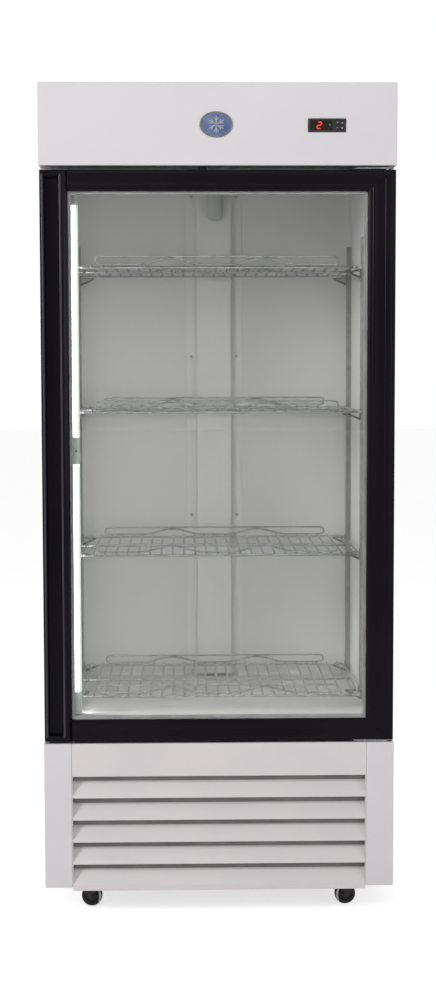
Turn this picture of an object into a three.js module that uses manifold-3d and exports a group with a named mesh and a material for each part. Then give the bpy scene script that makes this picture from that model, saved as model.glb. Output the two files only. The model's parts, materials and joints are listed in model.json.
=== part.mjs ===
// Upright glass-door refrigerator for a commercial kitchen, as an assembly of separate pieces.
// Millimetres, +Z up, front towards -Y. The origin is on the floor, under the middle of the cabinet.
import * as THREE from 'three';
import { mergeVertices } from 'three/addons/utils/BufferGeometryUtils.js';
import Module from 'manifold-3d';

const wasm = await Module();
wasm.setup();

// ---- Overall sizes ----
const cabinetWidth = 850;
const cabinetDepth = 675; // door shut
const cabinetHeight = 2013; // on its casters
const baseClearance = 76; // floor to the compressor bay
const baseHeight = 356.5; // louvred base below the door
const headerHeight = 194; // fascia above the door

// ---- Walls and clearances ----
const sheet = 1.5; // steel sheet
const fitGap = 0.3; // between pieces that rest on each other
const trimProud = 2; // door, badge and control stand in front of the fascias
const sideWall = 52;
const rearWall = 63;
const roofWall = 52;
const floorWall = 54;
const lintelDepth = 52; // insulated wall in front of the evaporator
const breakerThickness = 2;

// ---- Door ----
const doorThickness = 50;
const doorSideInset = 2;
const doorGapAbove = 10;
const doorGapBelow = 6;
const stileWidth = 66.5;
const topRailHeight = 50;
const bottomRailHeight = 53;
const paneThickness = 4;
const paneSpacing = 12;
const paneCover = 10; // how far the frame laps over the glass
const grooveSpare = 2; // groove beyond the glass edge
const frontLip = 9; // frame in front of the glass
const spacerShow = 7; // spacer seen inside the frame
const spacerHidden = 3;
const gasketDepth = 14;
const gasketWidth = 14;
const gasketInset = 22; // clears the door's swing at the hinge side
const gripRidge = 10; // outer ridge beside the finger channel
const gripWidth = 36;
const gripDepth = 19;
const gripEnd = 14; // solid ends of the handle profile
const mouthOverlap = 37; // breaker hidden behind the door's top rail

// ---- Hinges ----
const hingeFromSide = 22; // pivot to the cabinet's side
const hingeFromFront = 20; // pivot to the door's face
const hingeArmWidth = 100;
const hingePlate = 3.5;
const hingeLeg = 22;
const hingeEdge = 12; // arm past the pin, to the side and to the front
const hingeGapAbove = 3; // door to the top arm
const hingeGapBelow = 1; // base to the bottom arm
const pinRadius = 4.5;
const pinReach = 13; // pin inside the door
const pinClearance = 0.7;
const closerRadius = 7.2;
const closerLength = 90;

// ---- Interior ----
const pilasterDepth = 12;
const pilasterWidth = 24;
const pilasterAboveFloor = 12;
const pilasterBelowEvaporator = 147;
const frontPilasterFromFace = 205; // from the door's face
const rearPilasterFromWall = 34;
const ductWidth = 92;
const ductDepth = 22;
const ductFlange = 30;
const ductAboveFloor = 8;
const drainRadius = 22;
const drainWall = 4;
const drainToDuct = 8;
const drainX = 3;
const drainBend = 26;
const drainDrop = 28;
const evaporatorDrop = 149; // ceiling to the underside of the evaporator cover
const evaporatorSetBack = 22;

// ---- Shelves ----
const shelfCount = 4;
const shelfAboveFloor = 38; // lowest shelf's wires
const topShelfSpace = 227; // highest shelf's wires to the evaporator
const shelfBehindFlange = 48;
const shelfFromRearWall = 49;
const shelfSideGap = 4.7;
const railWidth = 6;
const wireWidth = 5;
const wirePitch = 28;
const loopEndGap = 56; // shelf's side to the loop's end
const loopHeight = 29;
const waveReach = 81; // sideways length of one rise of the wavy wire
const waveCentre = 115; // crest of the wavy wire, from the middle

// ---- Lamp ----
const lampRadius = 11.5;
const lampFromWall = 24;
const lampBehindFlange = 20;
const lampJointHeight = 68;
const lampJointAboveMiddle = 10;
const lampJointWidth = 20;
const lampChannelWidth = 26;
const lampChannelEndGap = 4;
const lampTopGap = 6;
const lampBottomGap = 4;

// ---- Base ----
const postWidth = 67;
const grilleRailHeight = 81;
const louvreCount = 5;
const louvreDepth = 25;
const louvreRise = 34;
const louvreLip = 4;
const louvreEndLap = 3; // end plate behind the slats
const grilleSkirt = 7.5; // the grille hangs below the posts
const panFlange = 24;
const rearGrilleInset = 6;
const slotRows = 6;
const slotPitch = 34;
const slotHeight = 12;
const slotLength = 300;
const slotFromMiddle = 20;
const slotsBelowTop = 60;

// ---- Casters ----
const wheelDiameter = 52;
const wheelWidth = 21;
const axleRadius = 4;
const axleClearance = 0.6;
const casterTrail = 16;
const casterFromSide = 92.3;
const frontCasterFromFace = 105;
const rearCasterFromBack = 87;
const forkPlate = 2.5;
const swivelRadius = 21;
const casterPlateSpace = 6; // top plate and ball race above the fork

// ---- Control and badge ----
const controlWidth = 90;
const controlHeight = 32;
const controlBodyDepth = 44;
const controlBezelLap = 3; // bezel over the rim of the hole
const displayWidth = 54;
const displayHeight = 23;
const displayRecess = 0.8;
const displayOffset = 12; // towards the handle side
const keyColumns = [25, 36];
const keyRow = 6.2; // above and below the middle
const keyRecess = 0.2;
const keyThickness = 2.4;
const controlFromMiddle = 258;
const controlFromTop = 100.5;
const keySize = 8.6;
const keyTravelSpace = 1.6;
const badgeWidth = 79;
const badgeHeight = 61;
const badgeOffset = -4;
const badgeFromTop = 98.5;
const switchFromMiddle = -35.5;
const switchWidth = 16;
const switchHeight = 7;
const switchDepth = 10;
const switchSetBack = 6; // behind the middle of the door's thickness

// ---- Cooling machinery ----
const bayToolGap = 58; // flange to the condenser
const condenserDepth = 65;
const condenserLeft = 20;
const condenserFromSide = 95;
const condenserHeadroom = 62;
const condenserToFan = 45;
const condenserFanRadius = 98;
const evaporatorCoilSideGap = 73; // liner's side to the coil
const evaporatorCoilDepth = 140;
const evaporatorCoilFromWall = 104.5;
const evaporatorHeadroom = 18;
const evaporatorFanRadius = 58;
const evaporatorFanSetBack = 34;
const fanMouthGap = 5;
const fanHubLength = 22;
const bladeThickness = 1.8;
const bladePitch = 28; // degrees
const motorToHub = 5;
const motorLength = 46;
const motorLegHalf = 20;
const motorLegThickness = 6;
const motorLegFrom = 18; // along the motor
const motorFootHalf = 32;
const motorFootFrom = 6;
const motorFootLength = 30;
const motorFootThickness = 2;
const shaftRadius = 3;
const compressorX = -185;
const compressorY = 60;
const compressorRadius = 78;
const compressorFootLap = 17; // foot plate past the shell
const compressorFootDepth = 120;
const compressorFootThickness = 10;
const terminalBox = { reach: 18, into: 28, half: 26, bottom: 66, top: 116 };
const trayFromBack = 25;
const trayDepth = 107;
const trayHeight = 36;
const trayLeftGap = 95;
const trayRightGap = 125;
const glandFromSide = 95;
const glandHeight = 130; // above the floor
const glandRadius = 11;
const glandBore = 5;
const glandLength = 14;
const glandFlange = 3.5;
const glandLip = 5;

// ---- Derived places ----
const halfWidth = cabinetWidth / 2;
const frontY = -cabinetDepth / 2;
const rearY = cabinetDepth / 2;
const fasciaY = frontY + trimProud;
const flangeY = frontY + doorThickness + gasketDepth;
const baseTop = baseClearance + baseHeight;
const headerBottom = cabinetHeight - headerHeight;
const doorBottom = baseTop + doorGapBelow;
const doorTop = headerBottom - doorGapAbove;
const doorHalf = halfWidth - doorSideInset;
const doorBackY = frontY + doorThickness;
const deckBottom = baseTop + sheet;
const floorTop = deckBottom + floorWall;
const ceiling = cabinetHeight - roofWall;
const innerHalf = halfWidth - sideWall;
const innerRear = rearY - rearWall;
const mouthTop = doorTop - mouthOverlap;
const lintelInnerY = flangeY + lintelDepth;
const skinFront = flangeY + breakerThickness + fitGap;
const sightHalf = doorHalf - stileWidth;
const sightBottom = doorBottom + bottomRailHeight;
const sightTop = doorTop - topRailHeight;
const glassFrontY = frontY + frontLip;
const glassUnit = 2 * paneThickness + paneSpacing + 4 * fitGap;
const pivotX = halfWidth - hingeFromSide;
const pivotY = frontY + hingeFromFront;
const evaporatorBottom = ceiling - evaporatorDrop;
const evaporatorFront = lintelInnerY + evaporatorSetBack;
const grilleHalf = halfWidth - postWidth;
const controlZ = cabinetHeight - controlFromTop;
const badgeZ = cabinetHeight - badgeFromTop;
const panTop = baseClearance + 2 * sheet;
const bayFloor = panTop + fitGap;
const shelfBottom = floorTop + shelfAboveFloor;
const shelfPitch = (evaporatorBottom - topShelfSpace - shelfBottom) / (shelfCount - 1);
const lampJointMiddle = (floorTop + mouthTop) / 2 + lampJointAboveMiddle;
const casterFromMiddle = halfWidth - casterFromSide;
const condenserFront = flangeY + bayToolGap;
const condenserTop = deckBottom - condenserHeadroom;
const condenserRight = halfWidth - condenserFromSide;
const condenserMiddle = (condenserLeft + condenserRight) / 2;
const evaporatorCoilHalf = innerHalf - evaporatorCoilSideGap;
const glandX = halfWidth - glandFromSide;
const shelfFront = flangeY + shelfBehindFlange;
const shelfBack = innerRear - shelfFromRearWall;
const shelfDepth = shelfBack - shelfFront;

// ---- Finishes ----
function finish(color, roughness, metalness) {
  return new THREE.MeshStandardMaterial({ color, roughness, metalness });
}

const whitePaint = () => finish(0xd9d7d9, 0.35, 0.1);
const greyWhiteSheet = () => finish(0xc9cbc6, 0.45, 0.1);
const blackFrame = () => finish(0x0b0a0c, 0.3, 0.4);
const clearGlass = () => finish(0xdfe8e4, 0.05, 0);
const chromeWire = () => finish(0xb8babc, 0.25, 0.9);
const bareMetal = () => finish(0xa9abad, 0.4, 0.8);
const blackPlastic = () => finish(0x141416, 0.45, 0);
const blackRubber = () => finish(0x1b1b1c, 0.8, 0);
const greyRubber = () => finish(0x3a3a3c, 0.7, 0);
const foam = () => finish(0xe6dcae, 0.9, 0);
const lampDiffuser = () => finish(0xf6fbfa, 0.3, 0);
const badgeBlue = () => finish(0x6f8fb8, 0.3, 0.3);
const darkShell = () => finish(0x222326, 0.5, 0.3);

// ---- Making and cutting solids ----
const roundSides = 24;

function box(x0, x1, y0, y1, z0, z1) {
  const geometry = new THREE.BoxGeometry(x1 - x0, y1 - y0, z1 - z0);
  geometry.translate((x0 + x1) / 2, (y0 + y1) / 2, (z0 + z1) / 2);
  return geometry;
}

function outline(points, holes = []) {
  const shape = new THREE.Shape(points.map(([u, v]) => new THREE.Vector2(u, v)));
  shape.holes = holes.map((hole) => new THREE.Path(hole.map(([u, v]) => new THREE.Vector2(u, v))));
  return shape;
}

function rectangle(u0, u1, v0, v1) {
  return [[u0, v0], [u1, v0], [u1, v1], [u0, v1]];
}

function circle(u, v, radius, sides = roundSides) {
  const turn = (2 * Math.PI) / sides;
  return Array.from({ length: sides }, (_, i) => [
    u + radius * Math.cos(i * turn),
    v + radius * Math.sin(i * turn),
  ]);
}

function ellipse(u, v, width, height, sides = 2 * roundSides) {
  return circle(0, 0, 1, sides).map(([a, b]) => [u + (a * width) / 2, v + (b * height) / 2]);
}

function extrude(shape, depth) {
  return new THREE.ExtrudeGeometry(shape, { depth, bevelEnabled: false });
}

// The outline lies in (y, z).
function alongX(shape, x0, x1) {
  const turn = new THREE.Matrix4().makeBasis(
    new THREE.Vector3(0, 1, 0),
    new THREE.Vector3(0, 0, 1),
    new THREE.Vector3(1, 0, 0),
  );
  return extrude(shape, x1 - x0).applyMatrix4(turn).translate(x0, 0, 0);
}

// The outline lies in (x, z).
function alongY(shape, y0, y1) {
  return extrude(shape, y1 - y0).rotateX(Math.PI / 2).translate(0, y1, 0);
}

// The outline lies in (x, y).
function alongZ(shape, z0, z1) {
  return extrude(shape, z1 - z0).translate(0, 0, z0);
}

function rodAlongY(x, z, radius, y0, y1, sides = roundSides) {
  return alongY(outline(circle(x, z, radius, sides)), y0, y1);
}

function rodAlongZ(x, y, radius, z0, z1, sides = roundSides) {
  return alongZ(outline(circle(x, y, radius, sides)), z0, z1);
}

function solidOf(geometry) {
  const bare = geometry.clone();
  bare.deleteAttribute('normal');
  bare.deleteAttribute('uv');
  const merged = mergeVertices(bare, 1e-4);
  return new wasm.Manifold(new wasm.Mesh({
    numProp: 3,
    vertProperties: merged.attributes.position.array,
    triVerts: new Uint32Array(merged.index.array),
  }));
}

function geometryOf(solid) {
  const { vertProperties, triVerts } = solid.getMesh();
  const geometry = new THREE.BufferGeometry();
  geometry.setAttribute('position', new THREE.BufferAttribute(vertProperties, 3));
  geometry.setIndex(new THREE.BufferAttribute(triVerts, 1));
  geometry.computeVertexNormals();
  return geometry;
}

function join(...geometries) {
  return geometryOf(geometries.map(solidOf).reduce((whole, part) => whole.add(part)));
}

function cut(base, ...tools) {
  return geometryOf(tools.map(solidOf).reduce((whole, tool) => whole.subtract(tool), solidOf(base)));
}

function common(a, b) {
  return geometryOf(solidOf(a).intersect(solidOf(b)));
}

// A plate facing along Y, with each opening cut right through it.
function piercedPlate(rim, openings, y0, y1) {
  const tools = openings.map((opening) => alongY(outline(opening), y0 - 1, y1 + 1));
  return cut(alongY(outline(rim), y0, y1), ...tools);
}

// A folded sheet box that is open at its back.
function openBackBox(x0, x1, y0, y1, z0, z1) {
  const hollow = box(x0 + sheet, x1 - sheet, y0 + sheet, y1 + sheet, z0 + sheet, z1 - sheet);
  return cut(box(x0, x1, y0, y1, z0, z1), hollow);
}

// A folded sheet tray that is open at its top.
function openTopTray(x0, x1, y0, y1, z0, z1) {
  const hollow = box(x0 + sheet, x1 - sheet, y0 + sheet, y1 - sheet, z0 + sheet, z1 + sheet);
  return cut(box(x0, x1, y0, y1, z0, z1), hollow);
}

// ---- Cabinet body ----
function outerCase() {
  const inside = halfWidth - sheet;
  const wrap = [
    [-halfWidth, baseClearance], [-inside, baseClearance],
    [-inside, deckBottom], [inside, deckBottom],
    [inside, baseClearance], [halfWidth, baseClearance],
    [halfWidth, cabinetHeight], [-halfWidth, cabinetHeight],
  ];
  const hollow = rectangle(-inside, inside, deckBottom + sheet, cabinetHeight - sheet);
  return alongY(outline(wrap, [hollow]), flangeY, rearY - sheet - fitGap);
}

function backPanel() {
  return box(-halfWidth, halfWidth, rearY - sheet, rearY, deckBottom, cabinetHeight);
}

// Side view of the cold space: the door mouth, and the taller space behind the lintel.
function coldSpaceOutline(grow, front) {
  return outline([
    [front, floorTop - grow], [innerRear + grow, floorTop - grow],
    [innerRear + grow, ceiling + grow], [lintelInnerY - grow, ceiling + grow],
    [lintelInnerY - grow, mouthTop + grow], [front, mouthTop + grow],
  ]);
}

function innerLiner() {
  const outside = alongX(coldSpaceOutline(sheet, skinFront), -innerHalf - sheet, innerHalf + sheet);
  const inside = alongX(coldSpaceOutline(0, flangeY), -innerHalf, innerHalf);
  return cut(outside, inside);
}

function insulation() {
  const grow = sheet + fitGap;
  const side = halfWidth - grow;
  const block = box(-side, side, skinFront, rearY - grow, deckBottom + grow, cabinetHeight - grow);
  return cut(block, alongX(coldSpaceOutline(grow, flangeY), -innerHalf - grow, innerHalf + grow));
}

// White strip around the door mouth that the gasket seals against.
function breakerFrame() {
  const grow = sheet + fitGap;
  const side = halfWidth - grow;
  const rim = rectangle(-side, side, deckBottom + grow, cabinetHeight - grow);
  const mouth = rectangle(-innerHalf, innerHalf, floorTop, mouthTop);
  return alongY(outline(rim, [mouth]), flangeY, flangeY + breakerThickness);
}

function headerPanel() {
  const panel = openBackBox(-halfWidth, halfWidth, fasciaY, flangeY - fitGap, headerBottom, cabinetHeight);
  const halfHole = controlWidth / 2 - controlBezelLap;
  const halfHoleHeight = controlHeight / 2 - controlBezelLap;
  const hole = box(
    controlFromMiddle - halfHole, controlFromMiddle + halfHole, fasciaY - 1, fasciaY + sheet + 1,
    controlZ - halfHoleHeight, controlZ + halfHoleHeight,
  );
  return cut(panel, hole);
}

function badge() {
  return alongY(outline(ellipse(badgeOffset, badgeZ, badgeWidth, badgeHeight)), frontY, fasciaY - fitGap);
}

// Middles of the four keys, in two rows at the right of the display.
const keyPlaces = [
  ['key_set', keyColumns[0], -keyRow],
  ['key_lamp', keyColumns[1], -keyRow],
  ['key_down', keyColumns[0], keyRow],
  ['key_up', keyColumns[1], keyRow],
];

function keySolid([, across, up]) {
  const x = controlFromMiddle + across;
  const z = controlZ + up;
  const half = keySize / 2;
  const y = frontY + keyRecess;
  return box(x - half, x + half, y, y + keyThickness, z - half, z + half);
}

function controlUnit() {
  const halfW = controlWidth / 2;
  const halfH = controlHeight / 2;
  const wallGap = controlBezelLap + fitGap + 0.2;
  const bezel = box(
    controlFromMiddle - halfW, controlFromMiddle + halfW, frontY, fasciaY - fitGap,
    controlZ - halfH, controlZ + halfH,
  );
  const body = box(
    controlFromMiddle - halfW + wallGap, controlFromMiddle + halfW - wallGap,
    fasciaY - fitGap - 0.5, fasciaY + controlBodyDepth,
    controlZ - halfH + wallGap, controlZ + halfH - wallGap,
  );
  const pockets = keyPlaces.map(([, across, up]) => {
    const x = controlFromMiddle + across;
    const z = controlZ + up;
    const half = keySize / 2 + fitGap;
    const depth = keyRecess + keyThickness + keyTravelSpace;
    return box(x - half, x + half, frontY - 1, frontY + depth, z - half, z + half);
  });
  const displayMiddle = controlFromMiddle - displayOffset;
  const display = box(
    displayMiddle - displayWidth / 2, displayMiddle + displayWidth / 2, frontY - 1, frontY + displayRecess,
    controlZ - displayHeight / 2, controlZ + displayHeight / 2,
  );
  return cut(join(bezel, body), display, ...pockets);
}

// Oval switch in the gap above the door.
function doorSwitch() {
  const top = headerBottom - fitGap;
  const y = (frontY + flangeY) / 2 + switchSetBack;
  return box(
    switchFromMiddle - switchWidth / 2, switchFromMiddle + switchWidth / 2,
    y - switchDepth / 2, y + switchDepth / 2, top - switchHeight, top,
  );
}

// ---- Base ----
function basePost(side) {
  const inner = grilleHalf + fitGap;
  const [x0, x1] = side < 0 ? [-halfWidth, -inner] : [inner, halfWidth];
  return openBackBox(x0, x1, fasciaY, flangeY - fitGap, baseClearance, baseTop);
}

function louvre(lipBottom, lipHeight) {
  const slope = lipBottom + lipHeight;
  return alongX(outline([
    [fasciaY, lipBottom], [fasciaY + sheet, lipBottom],
    [fasciaY + sheet, slope - sheet], [fasciaY + louvreDepth, slope + louvreRise - 2 * sheet],
    [fasciaY + louvreDepth, slope + louvreRise], [fasciaY, slope],
  ]), -grilleHalf, grilleHalf);
}

function grillePanel() {
  const railBottom = baseTop - grilleRailHeight;
  const rail = alongX(outline([
    [fasciaY, railBottom], [fasciaY + louvreDepth / 2, railBottom],
    [fasciaY + louvreDepth / 2, railBottom + sheet], [fasciaY + sheet, railBottom + sheet],
    [fasciaY + sheet, baseTop - sheet], [flangeY - fitGap, baseTop - sheet],
    [flangeY - fitGap, baseTop], [fasciaY, baseTop],
  ]), -grilleHalf, grilleHalf);
  const skirtBottom = baseClearance - grilleSkirt;
  const lowestLip = baseClearance + 2 * sheet;
  const louvrePitch = (railBottom + 1 - lowestLip) / louvreCount;
  const louvres = [louvre(skirtBottom, lowestLip + louvreLip - skirtBottom)];
  for (let i = 1; i < louvreCount; i += 1) {
    louvres.push(louvre(lowestLip + i * louvrePitch, louvreLip));
  }
  const ends = [-grilleHalf, grilleHalf - sheet].map((x) => (
    box(x, x + sheet, fasciaY, fasciaY + louvreDepth + louvreEndLap, baseClearance, baseTop - sheet / 2)
  ));
  return join(rail, ...louvres, ...ends);
}

function basePan() {
  const side = halfWidth - sheet - fitGap;
  const thickness = 2 * sheet;
  return alongY(outline([
    [-side, baseClearance], [side, baseClearance],
    [side, panTop + panFlange], [side - sheet, panTop + panFlange],
    [side - sheet, baseClearance + thickness], [-side + sheet, baseClearance + thickness],
    [-side + sheet, panTop + panFlange], [-side, panTop + panFlange],
  ]), flangeY + fitGap, rearY - rearGrilleInset - sheet - fitGap);
}

function rearGrille() {
  const side = halfWidth - sheet - fitGap;
  const bottom = baseClearance;
  const top = deckBottom - fitGap;
  const slotEnd = slotFromMiddle + slotLength;
  const slots = [];
  for (let row = 0; row < slotRows; row += 1) {
    const z = top - slotsBelowTop - row * slotPitch;
    slots.push(rectangle(-slotEnd, -slotFromMiddle, z, z + slotHeight));
    slots.push(rectangle(slotFromMiddle, slotEnd, z, z + slotHeight));
  }
  slots.push(circle(glandX, glandHeight, glandRadius + fitGap));
  const outer = rearY - rearGrilleInset;
  return piercedPlate(rectangle(-side, side, bottom, top), slots, outer - sheet, outer);
}

// Bush that the power cord leaves through.
function cordGland() {
  const face = rearY - rearGrilleInset + fitGap;
  const body = rodAlongY(glandX, glandHeight, glandRadius - fitGap, face - glandLength, face + 1);
  const flange = rodAlongY(glandX, glandHeight, glandRadius + glandLip, face, face + glandFlange);
  const bore = rodAlongY(
    glandX, glandHeight, glandBore, face - glandLength - 1, face + glandFlange + 1,
  );
  return cut(join(body, flange), bore);
}

// ---- Hinges ----
function hingeBracket(plateBottom, legDown, pinUp) {
  const x1 = pivotX + hingeEdge;
  const front = pivotY - hingeEdge;
  const x0 = x1 - hingeArmWidth;
  const back = flangeY - fitGap;
  const nose = 14;
  const arm = alongZ(outline([
    [x0, back], [x0, front + nose + 6], [x0 + nose, front + 4],
    [x1 - nose / 2, front], [x1, front + nose / 2], [x1, back],
  ]), plateBottom, plateBottom + hingePlate);
  const legEnd = legDown ? plateBottom - hingeLeg : plateBottom + hingeLeg;
  const legZ = [legEnd, plateBottom + 1].sort((a, b) => a - b);
  const leg = box(x0, x1, back - hingePlate, back, legZ[0], legZ[1]);
  const pinZ = pinUp ? [plateBottom + 1, doorBottom + pinReach] : [doorTop - pinReach, plateBottom + 1];
  return join(arm, leg, rodAlongZ(pivotX, pivotY, pinRadius, pinZ[0], pinZ[1]));
}

// ---- Door ----
const grooveFront = glassFrontY;
const grooveBack = glassFrontY + glassUnit;
const grooveReach = paneCover + grooveSpare;

function handleStile() {
  const x0 = -doorHalf;
  const x1 = -sightHalf;
  const bar = alongZ(outline([
    [x0, frontY], [x1, frontY], [x1, grooveFront], [x1 - grooveReach, grooveFront],
    [x1 - grooveReach, grooveBack], [x1, grooveBack], [x1, doorBackY], [x0, doorBackY],
  ]), doorBottom, doorTop);
  const taper = 2; // the channel narrows towards its floor
  const left = x0 + gripRidge;
  const grip = alongZ(outline([
    [left, frontY - 1], [left + gripWidth, frontY - 1],
    [left + gripWidth - taper, frontY + gripDepth], [left + taper, frontY + gripDepth],
  ]), doorBottom + gripEnd, doorTop - gripEnd);
  return cut(bar, grip);
}

// Corner outline of a member that meets the hinge stile in a mitre.
function mitreOutline(member) {
  const rightIn = sightHalf;
  const rightOut = doorHalf;
  const left = -sightHalf + fitGap;
  if (member === 'top') {
    return outline([
      [left, sightTop], [rightIn - fitGap, sightTop], [rightOut - fitGap, doorTop], [left, doorTop],
    ]);
  }
  if (member === 'bottom') {
    return outline([
      [left, doorBottom], [rightOut - fitGap, doorBottom],
      [rightIn - fitGap, sightBottom], [left, sightBottom],
    ]);
  }
  return outline([[rightIn, sightBottom], [rightOut, doorBottom], [rightOut, doorTop], [rightIn, sightTop]]);
}

// Bores on the pivot line, through both members at each mitred corner.
function pivotBores() {
  const pinBore = rodAlongZ(pivotX, pivotY, pinRadius + pinClearance, doorTop - pinReach - 3, doorTop + 1);
  const closerBore = rodAlongZ(
    pivotX, pivotY, closerRadius + pinClearance, doorBottom - 1, doorBottom + closerLength + 4,
  );
  return [pinBore, closerBore];
}

function hingeStile() {
  const x0 = sightHalf;
  const bar = alongZ(outline([
    [x0, frontY], [doorHalf, frontY], [doorHalf, doorBackY], [x0, doorBackY],
    [x0, grooveBack], [x0 + grooveReach, grooveBack],
    [x0 + grooveReach, grooveFront], [x0, grooveFront],
  ]), doorBottom, doorTop);
  return cut(common(bar, alongY(mitreOutline('hinge'), frontY - 1, doorBackY + 1)), ...pivotBores());
}

function doorRail(member) {
  const [edge, sight] = member === 'top' ? [doorTop, sightTop] : [doorBottom, sightBottom];
  const into = member === 'top' ? sight + grooveReach : sight - grooveReach;
  const bar = alongX(outline([
    [frontY, edge], [doorBackY, edge], [doorBackY, sight], [grooveBack, sight],
    [grooveBack, into], [grooveFront, into], [grooveFront, sight], [frontY, sight],
  ]), -doorHalf, doorHalf);
  return cut(common(bar, alongY(mitreOutline(member), frontY - 1, doorBackY + 1)), ...pivotBores());
}

function pane(y) {
  const half = sightHalf + paneCover;
  return box(-half, half, y, y + paneThickness, sightBottom - paneCover, sightTop + paneCover);
}

function ring(half, bottom, top, width, y0, y1) {
  const rim = rectangle(-half, half, bottom, top);
  const hole = rectangle(-half + width, half - width, bottom + width, top - width);
  return alongY(outline(rim, [hole]), y0, y1);
}

function glassSpacer() {
  const y0 = glassFrontY + paneThickness + 2 * fitGap;
  return ring(
    sightHalf + spacerHidden, sightBottom - spacerHidden, sightTop + spacerHidden, spacerHidden + spacerShow,
    y0, y0 + paneSpacing - fitGap,
  );
}

function doorGasket() {
  return ring(
    doorHalf - gasketInset, doorBottom + gasketInset, doorTop - gasketInset, gasketWidth,
    doorBackY + fitGap, flangeY - fitGap,
  );
}

// Torsion cartridge that swings the door shut, with a socket for the lower pin.
function doorCloser() {
  const bottom = doorBottom + 1;
  const cartridge = rodAlongZ(pivotX, pivotY, closerRadius, bottom, bottom + closerLength);
  const socket = rodAlongZ(pivotX, pivotY, pinRadius + pinClearance, bottom - 1, doorBottom + pinReach + 3);
  return cut(cartridge, socket);
}

// ---- Interior fittings ----
const pilasterRows = {
  front: frontY + frontPilasterFromFace,
  rear: innerRear - rearPilasterFromWall,
};

// Slotted upright that the shelf clips hook into.
function pilaster(side, y) {
  const wall = side * (innerHalf - fitGap);
  const face = side * (innerHalf - fitGap - pilasterDepth);
  const lip = side * sheet;
  const half = pilasterWidth / 2;
  return alongZ(outline([
    [wall, y - half], [face, y - half], [face, y + half], [wall, y + half],
    [wall, y + half - sheet], [face + lip, y + half - sheet],
    [face + lip, y - half + sheet], [wall, y - half + sheet],
  ]), floorTop + pilasterAboveFloor, evaporatorBottom - pilasterBelowEvaporator);
}

function ductCover() {
  const back = innerRear - fitGap;
  const front = back - ductDepth;
  const half = ductWidth / 2;
  const foot = half + ductFlange;
  return alongZ(outline([
    [-foot, back], [-half + sheet, back], [-half + sheet, front + sheet], [half - sheet, front + sheet],
    [half - sheet, back], [foot, back], [foot, back - sheet], [half, back - sheet],
    [half, front], [-half, front], [-half, back - sheet], [-foot, back - sheet],
  ]), floorTop + ductAboveFloor, evaporatorBottom - fitGap);
}

// Meltwater hose from the evaporator's tray back into the duct.
const ductFrontY = innerRear - fitGap - ductDepth;
const drainY = ductFrontY - fitGap - drainRadius - drainToDuct;

function drainTube() {
  const top = evaporatorBottom - fitGap;
  const turnTop = top - drainDrop;
  const end = ductFrontY - fitGap;
  const centre = new THREE.Vector3(drainX, drainY + drainBend, turnTop);
  const path = new THREE.CurvePath();
  const start = new THREE.Vector3(drainX, drainY, top);
  path.add(new THREE.LineCurve3(start, new THREE.Vector3(drainX, drainY, turnTop)));
  const steps = 4;
  for (let i = 0; i < steps; i += 1) {
    const at = (k) => {
      const angle = (k / steps) * (Math.PI / 2);
      return new THREE.Vector3(
        drainX, centre.y - drainBend * Math.cos(angle), centre.z - drainBend * Math.sin(angle),
      );
    };
    path.add(new THREE.LineCurve3(at(i), at(i + 1)));
  }
  const section = outline(circle(0, 0, drainRadius, 16));
  const hose = new THREE.ExtrudeGeometry(section, { extrudePath: path, steps: 24, bevelEnabled: false });
  const half = 2 * drainRadius;
  const space = box(drainX - half, drainX + half, drainY - half, end, turnTop - 2 * half, top);
  return common(hose, space);
}

function lampChannel() {
  const x0 = -innerHalf + fitGap;
  const x1 = -innerHalf + lampFromWall - lampRadius - 1;
  const y = flangeY + lampBehindFlange;
  const back = box(
    x0, x1, y - lampChannelWidth / 2, y + lampChannelWidth / 2,
    floorTop + lampChannelEndGap / 2, mouthTop - lampChannelEndGap,
  );
  const half = lampJointHeight / 2;
  const joint = box(
    x1 - 1, -innerHalf + lampFromWall + lampRadius - 2, y - lampJointWidth / 2, y + lampJointWidth / 2,
    lampJointMiddle - half, lampJointMiddle + half,
  );
  return join(back, joint);
}

function lampTube(z0, z1) {
  const x = -innerHalf + lampFromWall;
  return rodAlongZ(x, flangeY + lampBehindFlange, lampRadius, z0, z1, 16);
}

const fanZ = (evaporatorBottom + ceiling) / 2;
const evaporatorFan = {
  radius: evaporatorFanRadius, hub: 18, blades: 5, x: 0, y: evaporatorFront + evaporatorFanSetBack, z: fanZ,
};
const condenserFan = {
  radius: condenserFanRadius, hub: 24, blades: 5,
  x: condenserMiddle, y: condenserFront + condenserDepth + condenserToFan, z: (bayFloor + condenserTop) / 2,
};

function evaporatorCover() {
  const side = innerHalf - sheet;
  const back = innerRear - sheet;
  const tray = openTopTray(-side, side, evaporatorFront, back, evaporatorBottom, ceiling - 2);
  const fanMouth = rodAlongY(
    0, fanZ, evaporatorFan.radius + fanMouthGap, evaporatorFront - 1, evaporatorFront + sheet + 1,
  );
  const half = ductWidth / 2 - sheet;
  const floorHole = [evaporatorBottom - 1, evaporatorBottom + sheet + 1];
  const ductMouth = box(-half, half, ductFrontY + sheet, back - sheet, ...floorHole);
  const drainHole = rodAlongZ(drainX, drainY, drainRadius - drainWall, ...floorHole);
  return cut(tray, fanMouth, ductMouth, drainHole);
}

// Finned coil between two end plates.
function finnedCoil(x0, x1, y0, y1, z0, z1) {
  const lap = 6;
  const core = box(x0 + sheet, x1 - sheet, y0 + lap, y1 - lap, z0 + lap, z1 - lap);
  return join(core, box(x0, x0 + 2 * sheet, y0, y1, z0, z1), box(x1 - 2 * sheet, x1, y0, y1, z0, z1));
}

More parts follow.
